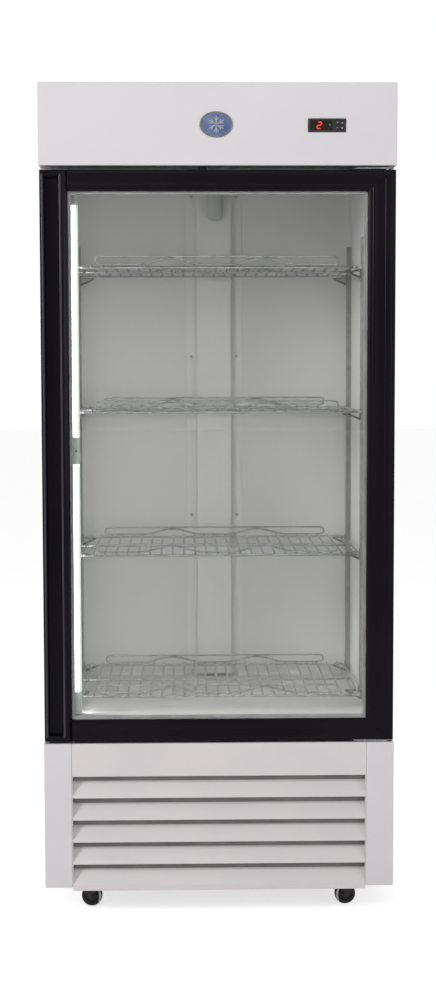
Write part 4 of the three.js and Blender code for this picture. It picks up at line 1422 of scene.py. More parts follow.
# ---------------------------------------------------------------- door
@dataclass
class Door:
    """Black frame with double glazing, gasket and closer."""

    lip: float = mm(9)
    groove: float = mm(12)
    groove_depth: float = mm(21.2)
    grip_depth: float = mm(19)
    ridge_land: float = mm(0.8)
    ridge_width: float = mm(4.6)
    chamfer: float = mm(2.5)
    bore: float = mm(5.4)

    def build(self) -> None:
        """Builds the door."""
        handle = Span.of("door_stile_handle")
        hinge = Span.of("door_stile_hinge")
        top = Span.of("door_rail_top")
        bottom = Span.of("door_rail_bottom")
        self.build_handle(handle)
        self.build_mitred(handle, hinge, top, bottom)
        self.build_glazing()
        self.build_gasket()
        closer = Bench.refined("door_closer", "closer_cartridge", mm(0.8))
        Bench.dress(closer, ZINC, "door", "door_closer")

    def rear_section(self, width: float, depth: float) -> list[Point2]:
        """The glazing groove and the back, from the sight edge to the outer edge.

        Args:
            width: Width of the member.
            depth: Depth of the door.

        Returns:
            Points as (distance from the outer edge, depth behind the face).
        """
        return [
            (width, self.lip), (width - self.groove, self.lip),
            (width - self.groove, self.lip + self.groove_depth),
            (width, self.lip + self.groove_depth), (width, depth), (0, depth),
        ]

    def build_handle(self, span: Span) -> None:
        """Handle stile: two ridges with a deep finger channel between them.

        Args:
            span: Box of the stile.
        """
        width, depth = span.size.x, span.size.y
        land = self.ridge_land
        plain = [
            (0, mm(3.5)), (mm(1.4), mm(1.2)), (mm(3.4), land), (mm(51), land),
            (mm(52.5), mm(1.1)), (mm(56.5), mm(1.4)), (mm(65.2), mm(6.6)),
            (width, mm(7.6)), *self.rear_section(width, depth),
        ]
        section = [(span.lo.x + u, span.lo.y + d) for u, d in plain]
        stile = Bench.bar("handle_stile", section, Axis.Z, span.lo.z, span.hi.z)
        end = mm(14)
        channel = [
            (mm(8.6), -mm(1)), (mm(8.6), 0), (mm(10.6), mm(1.6)), (mm(12.4), self.grip_depth),
            (mm(43.6), self.grip_depth), (mm(45.8), mm(1.6)), (mm(48.4), 0), (mm(48.4), -mm(1)),
        ]
        cutter = Bench.bar(
            "channel_cutter", [(span.lo.x + u, span.lo.y + d) for u, d in channel],
            Axis.Z, span.lo.z + end, span.hi.z - end,
        )
        Bench.cut(stile, cutter)
        Bench.soften(stile, mm(0.5), 3, 12)
        Bench.dress(stile, BLACK_FRAME, "door", "door_stile_handle")
        self.build_ridges(span, land, end)

    def build_ridges(self, span: Span, land: float, end: float) -> None:
        """Rounded ridges on both sides of the finger channel, in a paler black that paints their highlight.

        Args:
            span: Box of the stile.
            land: How far the lands lie behind the door's face.
            end: Distance of the channel from the stile's ends.
        """
        half = self.ridge_width / 2
        steps = 6
        for name, offset in (("outer", mm(6.2)), ("inner", mm(48.6))):
            middle = span.lo.x + offset
            section = [(middle + half, span.lo.y + land + mm(0.2))]
            for index in range(steps + 1):
                angle = math.pi * index / steps
                section.append(
                    (middle + half * math.cos(angle), span.lo.y + land * (1 - math.sin(angle)))
                )
            section.append((middle - half, span.lo.y + land + mm(0.2)))
            ridge = Bench.bar(
                f"grip_ridge_{name}", section, Axis.Z, span.lo.z + end - mm(4),
                span.hi.z - end + mm(4),
            )
            Bench.shade(ridge, 35)
            # Paler black: painted highlight on each ridge.
            Bench.dress(ridge, RIDGE_HIGHLIGHT_BLACK, "door")

    def mitred_section(self, width: float, depth: float) -> list[Point2]:
        """Section of the hinge stile and of both rails, with its shallow steps.

        Args:
            width: Width of the member.
            depth: Depth of the door.

        Returns:
            Points as (distance from the outer edge, depth behind the face).
        """
        share = width / mm(66.5)
        steps = [
            (mm(0), mm(3.6)), (mm(1.4), mm(1.4)), (mm(3.6), mm(0.5)), (mm(9), mm(0.5)),
            (mm(10), 0), (mm(24), 0), (mm(25), mm(0.7)), (mm(46), mm(0.7)),
            (mm(47), 0), (mm(54), 0), (mm(55), mm(0.7)), (mm(62), mm(0.9)), (mm(65.4), mm(3.6)),
            (mm(66.5), mm(7.4)),
        ]
        return [(u * share, d) for u, d in steps] + self.rear_section(width, depth)

    def build_mitred(self, handle: Span, hinge: Span, top: Span, bottom: Span) -> None:
        """Hinge stile and rails, cut to meet in mitres.

        Args:
            handle: Box of the handle stile; not used.
            hinge: Box of the hinge stile.
            top: Box of the top rail.
            bottom: Box of the bottom rail.
        """
        depth = hinge.size.y
        front = hinge.lo.y
        stile_section = [
            (hinge.hi.x - u, front + d) for u, d in self.mitred_section(hinge.size.x, depth)
        ]
        stile = Bench.bar("hinge_stile", stile_section, Axis.Z, hinge.lo.z, hinge.hi.z)
        top_section = [(front + d, top.hi.z - u) for u, d in self.mitred_section(top.size.z, depth)]
        top_rail = Bench.bar("top_rail", top_section, Axis.X, top.lo.x, hinge.hi.x)
        low_section = [
            (front + d, bottom.lo.z + u) for u, d in self.mitred_section(bottom.size.z, depth)
        ]
        low_rail = Bench.bar("bottom_rail", low_section, Axis.X, bottom.lo.x, hinge.hi.x)
        sight_x = hinge.lo.x
        upper = (Vector((sight_x, 0, top.lo.z)), Vector((hinge.hi.x, 0, top.hi.z)))
        lower = (Vector((sight_x, 0, bottom.hi.z)), Vector((hinge.hi.x, 0, bottom.lo.z)))
        self.mitre(stile, upper, keep_below=True)
        self.mitre(top_rail, upper, keep_below=False)
        self.mitre(stile, lower, keep_below=False)
        self.mitre(low_rail, lower, keep_below=True)
        pivot = Vector(next(j for j in frame["joints"] if j["name"] == "door_hinge")["pos_m"])
        closer = Span.of("door_closer")
        pin_top = Span.of("hinge_bracket_top").lo.z
        for piece, node in (
            (stile, "door_stile_hinge"),
            (top_rail, "door_rail_top"),
            (low_rail, "door_rail_bottom"),
        ):
            self.bore_pivot(piece, pivot, closer, pin_top)
            Bench.soften(piece, mm(0.3), 2, 12)
            Bench.dress(piece, BLACK_FRAME, "door", node)

    def bore_pivot(self, piece: Piece, pivot: Vector, closer: Span, pin_top: float) -> None:
        """Bores for the upper pin and for the closer, where they pass a member.

        Args:
            piece: The member.
            pivot: A point on the door's pivot line.
            closer: Box of the closer.
            pin_top: Lowest point of the upper bracket's pin.
        """
        door_top = Span.of("door_rail_top").hi.z
        spare = mm(3)
        low, high = pin_top - spare, door_top + spare
        upper = Bench.rod(
            "pin_bore", Vector((pivot.x, pivot.y, (low + high) / 2)), Axis.Z, self.bore, high - low
        )
        low, high = closer.lo.z - spare, closer.hi.z + spare
        lower = Bench.rod(
            "closer_bore", Vector((pivot.x, pivot.y, (low + high) / 2)), Axis.Z,
            closer.size.x / 2 + mm(0.7), high - low,
        )
        Bench.cut(piece, upper, lower)

    @staticmethod
    def mitre(piece: Piece, line: tuple[Vector, Vector], keep_below: bool) -> None:
        """Cuts a member on the slanted line of a corner.

        Args:
            piece: The member.
            line: Inner and outer corner.
            keep_below: Whether the part below the line stays.
        """
        inner, outer = line
        along = (outer - inner).normalized()
        normal = Vector((-along.z, 0, along.x))
        if normal.z < 0:
            normal.negate()
        gap = mm(0.1)
        shift = -normal * gap if keep_below else normal * gap
        with Bench.editing(piece):
            bpy.ops.mesh.select_all(action="SELECT")
            bpy.ops.mesh.bisect(
                plane_co=inner + shift, plane_no=normal, use_fill=True,
                clear_outer=keep_below, clear_inner=not keep_below,
            )
            bpy.ops.mesh.select_all(action="SELECT")
            bpy.ops.mesh.normals_make_consistent(inside=False)

    def build_glazing(self) -> None:
        """Two panes and the spacer between them."""
        for node, name in (("glass_outer", "pane_outer"), ("glass_inner", "pane_inner")):
            pane = Bench.refined(node, name, mm(0.5))
            Bench.shade_flat(pane)
            Bench.dress(pane, GLASS, "door", node)
        spacer = Bench.refined("glass_spacer", "spacer_frame", mm(0.5))
        Bench.dress(spacer, SPACER_BAR, "door", "glass_spacer")

    def build_gasket(self) -> None:
        """Gasket with a bellows groove round its outer side."""
        gasket = Bench.merged("door_gasket", "gasket_ring")
        span = Span.of("door_gasket")
        with Bench.editing(gasket):
            Bench.select_faces(gasket, lambda middle, normal: normal.y > 0.9)
            bpy.ops.mesh.inset(thickness=mm(3), depth=0)
            bpy.ops.mesh.extrude_region_move(
                TRANSFORM_OT_translate={"value": (0, -mm(2.5), 0)}
            )
        Bench.soften(gasket, mm(0.9), 3)
        Bench.dress(gasket, GASKET, "door", "door_gasket")
        LOG.info("gasket depth %.1f mm", span.size.y * 1000)


@dataclass
class Hinges:
    """The two hinge brackets with their screws."""

    edge: float = mm(0.6)

    def build(self) -> None:
        """Builds both brackets."""
        for place in ("top", "bottom"):
            node = f"hinge_bracket_{place}"
            bracket = Bench.refined(node, f"hinge_arm_{place}", self.edge, 3)
            Bench.dress(bracket, ZINC, "cabinet", node)
        upper, lower = Span.of("hinge_bracket_top"), Span.of("hinge_bracket_bottom")
        leg = mm(3.5)
        places = []
        for span, z in ((upper, upper.hi.z - mm(13)), (lower, lower.lo.z + mm(13))):
            for share in (0.18, 0.5):
                x = span.lo.x + share * span.size.x
                places.append(Vector((x, span.hi.y - leg, z)))
        Screws(height=mm(2)).row("hinge_screws", places, Axis.Y, -1, "cabinet")


# ---------------------------------------------------------------- inside
@dataclass
class Fittings:
    """Slotted uprights, duct, drain hose and lamp inside the cabinet."""

    slot_pitch: float = mm(25)
    slot_height: float = mm(12)
    slot_width: float = mm(4)
    cap: float = mm(34)
    low_cap: float = mm(55)

    def build(self) -> None:
        """Builds the fittings."""
        self.build_uprights()
        self.build_duct()
        self.build_hose()
        self.build_lamp()

    def build_uprights(self) -> None:
        """One slotted upright, copied to the four places."""
        base = Span.of("pilaster_front_right")
        pattern = Bench.refined("pilaster_front_right", "upright_pattern", mm(0.4))
        pattern.data.polygons.foreach_set("use_smooth", [False] * len(pattern.data.polygons))
        count = int((base.size.z - mm(20)) / self.slot_pitch)
        first = base.lo.z + mm(18)
        cutters = []
        slot = Bench.block(
            "slot_cutter",
            Vector((base.lo.x - mm(2), base.centre.y - self.slot_width / 2, first)),
            Vector((base.lo.x + mm(4), base.centre.y + self.slot_width / 2, first + self.slot_height)),
        )
        for index in range(count):
            cutters.append(
                Bench.copy(slot, f"slot_{index}", Vector((0, 0, index * self.slot_pitch)))
            )
        bpy.data.objects.remove(slot)
        Bench.cut(pattern, Bench.join("slot_cutters", cutters))
        for row in ("front", "rear"):
            for side in ("left", "right"):
                node = f"pilaster_{row}_{side}"
                span = Span.of(node)
                step = Matrix.Translation((0, span.centre.y - base.centre.y, 0))
                if side == "left":
                    step = step @ Matrix.Diagonal((-1, 1, 1, 1))
                upright = Bench.copy(pattern, f"upright_{row}_{side}", step)
                Bench.dress(upright, UPRIGHT_STEEL, "cabinet", node)
        bpy.data.objects.remove(pattern)

    def build_duct(self) -> None:
        """Air duct cover and its screws."""
        duct = Bench.refined("duct_cover", "duct_channel", mm(0.4))
        Bench.dress(duct, DUCT_SHEET, "cabinet", "duct_cover")
        span = Span.of("duct_cover")
        rows = 4
        low, high = span.lo.z + mm(5), span.hi.z - mm(7)
        places = [
            Vector((side * (span.hi.x - mm(14)), span.hi.y - mm(1.5), low + k * (high - low) / (rows - 1)))
            for side in (-1, 1)
            for k in range(rows)
        ]
        Screws(radius=mm(4.2)).row("duct_screws", places, Axis.Y, -1, "cabinet")

    def build_hose(self) -> None:
        """Drain hose that bends into the duct, with a collar at its top."""
        span = Span.of("drain_tube")
        radius = span.size.x / 2
        bend = mm(26)
        x = span.centre.x
        y = span.lo.y + radius
        end = span.hi.y
        turn = span.hi.z - mm(28)
        points = [Vector((x, y, span.hi.z)), Vector((x, y, (span.hi.z + turn) / 2))]
        steps = 8
        for index in range(steps + 1):
            angle = index / steps * math.pi / 2
            place = Vector((x, y + bend * (1 - math.cos(angle)), turn - bend * math.sin(angle)))
            if place.y < end - mm(1):
                points.append(place)
        points.append(Vector((x, end, points[-1].z - mm(1))))
        hose = Bench.wire("drain_hose", points, radius - mm(0.2), 12)
        blade = Bench.block(
            "hose_trim", Vector((x - mm(60), end, turn - mm(90))), Vector((x + mm(60), end + mm(60), span.hi.z + mm(5)))
        )
        roof = Bench.block(
            "hose_roof", Vector((x - mm(60), y - mm(60), span.hi.z)), Vector((x + mm(60), y + mm(90), span.hi.z + mm(30)))
        )
        Bench.cut(hose, blade, roof)
        Bench.dress(hose, HOSE, "cabinet", "drain_tube")
        collar = Bench.rod(
            "hose_collar", Vector((x, y, span.hi.z - mm(4))), Axis.Z, radius + mm(3), mm(7.4), 40
        )
        Bench.soften(collar, mm(1), 3)
        Bench.dress(collar, GREY_PLASTIC, "cabinet")

    def build_lamp(self) -> None:
        """Wall channel, two tubes, end caps and the joint between them."""
        channel = Bench.refined("lamp_channel", "lamp_holder", mm(0.8), 3)
        Bench.dress(channel, TRIM_PLASTIC, "cabinet", "lamp_channel")
        spans = {part: Span.of(f"lamp_tube_{part}") for part in ("upper", "lower")}
        for part, span in spans.items():
            tube = Bench.rod(
                f"lamp_glow_{part}", span.centre, Axis.Z, span.size.x / 2, span.size.z, 32
            )
            Bench.soften(tube, mm(1.5), 3)
            Bench.dress(tube, DIFFUSER, "cabinet", f"lamp_tube_{part}")
            self.build_lamp_edge(f"lamp_edge_{part}", span)
        upper, lower = spans["upper"], spans["lower"]
        radius = upper.size.x / 2 + mm(0.9)
        bands = (
            ("cap_top", upper.hi.z - self.cap, upper.hi.z + mm(1.2), mm(0)),
            ("cap_bottom", lower.lo.z - mm(1.2), lower.lo.z + self.low_cap, mm(0)),
            ("joint", lower.hi.z + mm(0.6), upper.lo.z - mm(0.6), mm(0.6)),
        )
        for name, low, high, grow in bands:
            centre = Vector((upper.centre.x, upper.centre.y, (low + high) / 2))
            band = Bench.rod(f"lamp_{name}", centre, Axis.Z, radius + grow, high - low, 32)
            Bench.soften(band, mm(1.2), 3)
            Bench.dress(band, CAP_PLASTIC, "cabinet")
        dot = Bench.rod(
            "lamp_joint_screw",
            Vector((upper.centre.x + mm(4), upper.centre.y - radius - mm(0.6), (lower.hi.z + upper.lo.z) / 2)),
            Axis.Y, mm(2.6), mm(2), 14,
        )
        Bench.soften(dot, mm(0.4))
        Bench.dress(dot, BLACK_PLASTIC, "cabinet")


    @staticmethod
    def build_lamp_edge(name: str, span: Span) -> None:
        """Dimmer, greener glowing strip along the inner side of a tube: painted shade on that side of the lamp.

        Args:
            name: Piece name.
            span: Box of the tube.
        """
        radius = span.size.x / 2
        steps = 8
        start, end = -0.95, 0.35
        rings = []
        for grow in (mm(0.7), mm(0.1)):
            arc = [start + (end - start) * k / steps for k in range(steps + 1)]
            if grow < mm(0.5):
                arc.reverse()
            rings += [
                (
                    span.centre.x + (radius + grow) * math.cos(a),
                    span.centre.y + (radius + grow) * math.sin(a),
                )
                for a in arc
            ]
        # Painted shade: a dimmer glowing shell over the tube's inner side.
        strip = Bench.bar(name, rings, Axis.Z, span.lo.z + mm(2), span.hi.z - mm(2))
        Bench.shade(strip, 20)
        Bench.dress(strip, DIFFUSER_SHADE_EDGE, "cabinet")


@dataclass
class Shelves:
    """Four welded wire shelves and the clips that carry them."""

    rail: float = mm(3)
    thin: float = mm(2.3)
    pitch: float = mm(28)
    corner: float = mm(12)
    loop_half: float = mm(300)
    crest: float = mm(115)
    ramp: float = mm(81)

    def build(self) -> None:
        """Builds one shelf, copies it, and hangs the clips."""
        first = Span.of("shelf_4")
        centre = Vector((0, first.centre.y, first.lo.z + self.rail))
        half_x, half_y = first.size.x / 2, first.size.y / 2
        pattern = self.one_shelf(centre, half_x, half_y, first.hi.z - centre.z)
        for index in range(1, 5):
            span = Span.of(f"shelf_{index}")
            step = Vector((0, span.centre.y - first.centre.y, span.lo.z - first.lo.z))
            shelf = Bench.copy(pattern, f"wire_shelf_{index}", step)
            Bench.dress(shelf, CHROME, f"shelf_{index}_body", f"shelf_{index}")
            self.build_clips(index, span)
        bpy.data.objects.remove(pattern)

    def one_shelf(self, centre: Vector, half_x: float, half_y: float, top: float) -> Piece:
        """The grid, its rails and its two loops.

        Args:
            centre: Middle of the rails.
            half_x: Half the width.
            half_y: Half the depth.
            top: Height of the loops above the rails' middle.

        Returns:
            The shelf.
        """
        parts = [self.rim(centre, half_x - self.rail, half_y - self.rail)]
        cross = [
            centre + Vector((-half_x + self.rail, 0, 0)), centre + Vector((half_x - self.rail, 0, 0))
        ]
        parts.append(Bench.wire("shelf_cross", cross, self.rail * 0.9, 2))
        long_wire = self.long_wire(centre, half_y)
        reach = int((half_x - 2 * self.rail) / self.pitch)
        for index in range(-reach, reach + 1):
            parts.append(
                Bench.copy(long_wire, f"shelf_wire_{index}", Vector((index * self.pitch, 0, 0)))
            )
        bpy.data.objects.remove(long_wire)
        for side in (-1, 1):
            y = centre.y + side * (half_y - 2 * self.rail - self.thin)
            parts.append(self.loop(f"shelf_loop_{side}", Vector((0, y, centre.z)), top))
        return Bench.join("shelf_pattern", parts)

    def rim(self, centre: Vector, half_x: float, half_y: float) -> Piece:
        """The round rail that runs round the shelf.

        Args:
            centre: Middle of the rail's rectangle.
            half_x: Half its width.
            half_y: Half its depth.

        Returns:
            The rail.
        """
        points = []
        steps = 4
        for quarter, (sx, sy) in enumerate(((1, 1), (-1, 1), (-1, -1), (1, -1))):
            middle = centre + Vector(
                (sx * (half_x - self.corner), sy * (half_y - self.corner), 0)
            )
            for index in range(steps + 1):
                angle = (quarter + index / steps) * math.pi / 2
                points.append(
                    middle + Vector((math.cos(angle), math.sin(angle), 0)) * self.corner
                )
        return Bench.wire("shelf_rim", points, self.rail, 3, closed=True)

    def long_wire(self, centre: Vector, half_y: float) -> Piece:
        """One wire from back to front that bends down over the front rail.

        Args:
            centre: Middle of the rails.
            half_y: Half the shelf's depth.

        Returns:
            The wire at x 0.
        """
        z = self.rail + self.thin * 0.75
        turn = mm(5)
        front = -half_y - self.thin * 0.3
        points = [Vector((0, half_y - mm(1), z)), Vector((0, front + turn, z))]
        steps = 3
        for index in range(1, steps + 1):
            angle = index / steps * math.pi / 2
            points.append(
                Vector((0, front + turn - turn * math.sin(angle), z - turn + turn * math.cos(angle)))
            )
        points.append(Vector((0, front, -self.rail * 0.8)))
        return Bench.wire("shelf_long_wire", [centre + p for p in points], self.thin, 2)

    def wave(self, x: float, low: float, high: float) -> float:
        """Height of the wavy wire at a place across the shelf.

        Args:
            x: Distance from the shelf's middle.
            low: Height of its flat stretches.
            high: Height of its crests.

        Returns:
            The height.
        """
        share = min(abs(abs(x) - self.crest) / self.ramp, 1.0)
        return low + (high - low) * (1 + math.cos(share * math.pi)) / 2

    def loop(self, name: str, base: Vector, top: float) -> Piece:
        """The upright loop: a straight wire over a wavy one, in one closed run.

        Args:
            name: Piece name.
            base: Middle of the loop at the rails' height.
            top: Height of its highest point.

        Returns:
            The loop.
        """
        low = self.rail + 2 * self.thin
        high = top - self.thin
        bend = (high - low) / 2
        end = self.loop_half - self.thin - bend
        points = []
        steps = 6
        for index in range(steps + 1):
            angle = math.pi / 2 - index / steps * math.pi
            points.append(
                Vector((end + bend * math.cos(angle), 0, low + bend + bend * math.sin(angle)))
            )
        limit = self.crest + self.ramp
        samples = 34
        for index in range(samples + 1):
            x = limit - 2 * limit * index / samples
            points.append(Vector((x, 0, self.wave(x, low, high - 2 * self.thin * 0.9))))
        for index in range(steps + 1):
            angle = -math.pi / 2 - index / steps * math.pi
            points.append(
                Vector((-end + bend * math.cos(angle), 0, low + bend + bend * math.sin(angle)))
            )
        return Bench.wire(name, [base + p for p in points], self.thin, 2, closed=True)

    def build_clips(self, index: int, span: Span) -> None:
        """Four bent clips that hook into the uprights under one shelf.

        Args:
            index: Number of the shelf.
            span: Its box.
        """
        clips = []
        width = mm(16)
        for row in ("front", "rear"):
            upright = Span.of(f"pilaster_{row}_right")
            face = upright.lo.x - mm(0.2)
            under = span.lo.z - mm(0.3)
            lip = span.hi.x - 2 * self.rail - mm(1.2)
            tip = lip - mm(24)
            section = [
                (face, under + mm(9)), (face, under - mm(20)), (face - mm(1.6), under - mm(20)),
                (tip, under - mm(3.4)), (tip, under), (lip - mm(1.6), under),
                (lip - mm(1.6), under + mm(3)),
                (lip, under + mm(3)), (lip, under), (face - mm(3), under),
                (face - mm(3), under - mm(1.8)), (tip + mm(4), under - mm(2)),
                (face - mm(1.8), under - mm(14)), (face - mm(1.8), under + mm(9)),
            ]
            y = upright.centre.y
            clip = Bench.bar(f"clip_{row}", section, Axis.Y, y - width / 2, y + width / 2)
            Bench.soften(clip, mm(0.3))
            other = Bench.copy(clip, f"clip_{row}_left", Matrix.Diagonal((-1, 1, 1, 1)))
            clips += [clip, other]
        joined = Bench.join(f"shelf_clips_{index}", clips)
        Bench.dress(joined, CLIP_STEEL, "cabinet")


# ---------------------------------------------------------------- cooling
@dataclass
class Coil:
    """A finned coil with end plates and return bends."""

    fin_pitch: float = mm(6)
    fin: float = mm(0.5)
    tube: float = mm(4.5)

    def build(self, node: str, name: str) -> None:
        """Builds a coil in a CAD node's box, with its fins across X.

        Args:
            node: CAD node it stands for.
            name: Name of the fin pack.
        """
        span = Span.of(node)
        plate = mm(1.5)
        fins = [
            Bench.block(
                f"{name}_plate_{index}",
                Vector((x, span.lo.y, span.lo.z)), Vector((x + plate, span.hi.y, span.hi.z)),
            )
            for index, x in enumerate((span.lo.x + mm(12), span.hi.x - mm(12) - plate))
        ]
        pattern = Bench.block(
            f"{name}_fin",
            Vector((span.lo.x + mm(18), span.lo.y + mm(3), span.lo.z + mm(3))),
            Vector((span.lo.x + mm(18) + self.fin, span.hi.y - mm(3), span.hi.z - mm(3))),
        )
        count = int((span.size.x - mm(36)) / self.fin_pitch)
        Bench.modify(
            pattern, "ARRAY", count=count, use_relative_offset=False, use_constant_offset=True,
            constant_offset_displace=(self.fin_pitch, 0, 0),
        )
        pack = Bench.join(f"{name}_fins", [*fins, pattern])
        Bench.dress(pack, FIN_METAL, "cabinet", node)
        self.build_tubes(name, span)

    def build_tubes(self, name: str, span: Span) -> None:
        """Copper rows that run through the fins and turn at each end.

        Args:
            name: Name of the coil.
            span: Its box.
        """
        rows = max(int(span.size.z / mm(38)), 2)
        left, right = span.lo.x + mm(10), span.hi.x - mm(10)
        points = []
        for index in range(rows):
            z = span.lo.z + (index + 0.5) * span.size.z / rows
            ends = (left, right) if index % 2 == 0 else (right, left)
            bulge = mm(6) if ends[1] == right else -mm(6)
            points += [Vector((ends[0], span.centre.y, z)), Vector((ends[1], span.centre.y, z))]
            if index < rows - 1:
                points.append(
                    Vector((ends[1] + bulge * 0.7, span.centre.y, z + span.size.z / rows / 2))
                )
        pipe = Bench.wire(f"{name}_tubes", points, self.tube, 3)
        Bench.dress(pipe, COPPER, "cabinet")


@dataclass
class Cooling:
    """Evaporator cover and coil, fans, compressor, condenser and drip tray."""

    def build(self) -> None:
        """Builds the cooling pieces."""
        cover = Bench.refined("evaporator_cover", "evaporator_tray", mm(0.5))
        Bench.dress(cover, LINER_SHEET, "cabinet", "evaporator_cover")
        Coil().build("evaporator_coil", "cold_coil")
        Coil(fin_pitch=mm(5)).build("condenser_coil", "hot_coil")
        for place in ("evaporator", "condenser"):
            fan = Bench.refined(f"{place}_fan", f"{place}_blades", mm(0.4), smooth=30)
            Bench.dress(fan, BLACK_PLASTIC, f"{place}_fan_body", f"{place}_fan")
            motor = Bench.refined(f"{place}_fan_motor", f"{place}_motor", mm(0.8), smooth=30)
            Bench.dress(motor, DARK_ENAMEL, "cabinet", f"{place}_fan_motor")
        self.build_compressor()
        tray = Bench.refined("drip_tray", "drip_pan", mm(0.6))
        Bench.dress(tray, BLACK_PLASTIC, "cabinet", "drip_tray")

    def build_compressor(self) -> None:
        """Welded compressor shell, and the discharge pipe that leaves it."""
        shell = Bench.refined("compressor", "compressor_shell", mm(2), 3, 40, 32)
        Bench.dress(shell, DARK_ENAMEL, "cabinet", "compressor")
        span = Span.of("compressor")
        hot = Span.of("condenser_coil")
        start = Vector((span.centre.x, span.lo.y + mm(20), span.lo.z + mm(120)))
        points = [
            start, start + Vector((0, -mm(30), 0)), start + Vector((0, -mm(45), mm(20))),
            start + Vector((0, -mm(45), mm(70))), start + Vector((mm(20), -mm(50), mm(95))),
            Vector((hot.lo.x - mm(25), start.y - mm(60), start.z + mm(100))),
            Vector((hot.lo.x - mm(8), hot.centre.y, hot.hi.z - mm(60))),
            Vector((hot.lo.x + mm(6), hot.centre.y, hot.hi.z - mm(70))),
        ]
        pipe = Bench.wire("discharge_pipe", points, mm(4), 3)
        Bench.dress(pipe, COPPER, "cabinet")


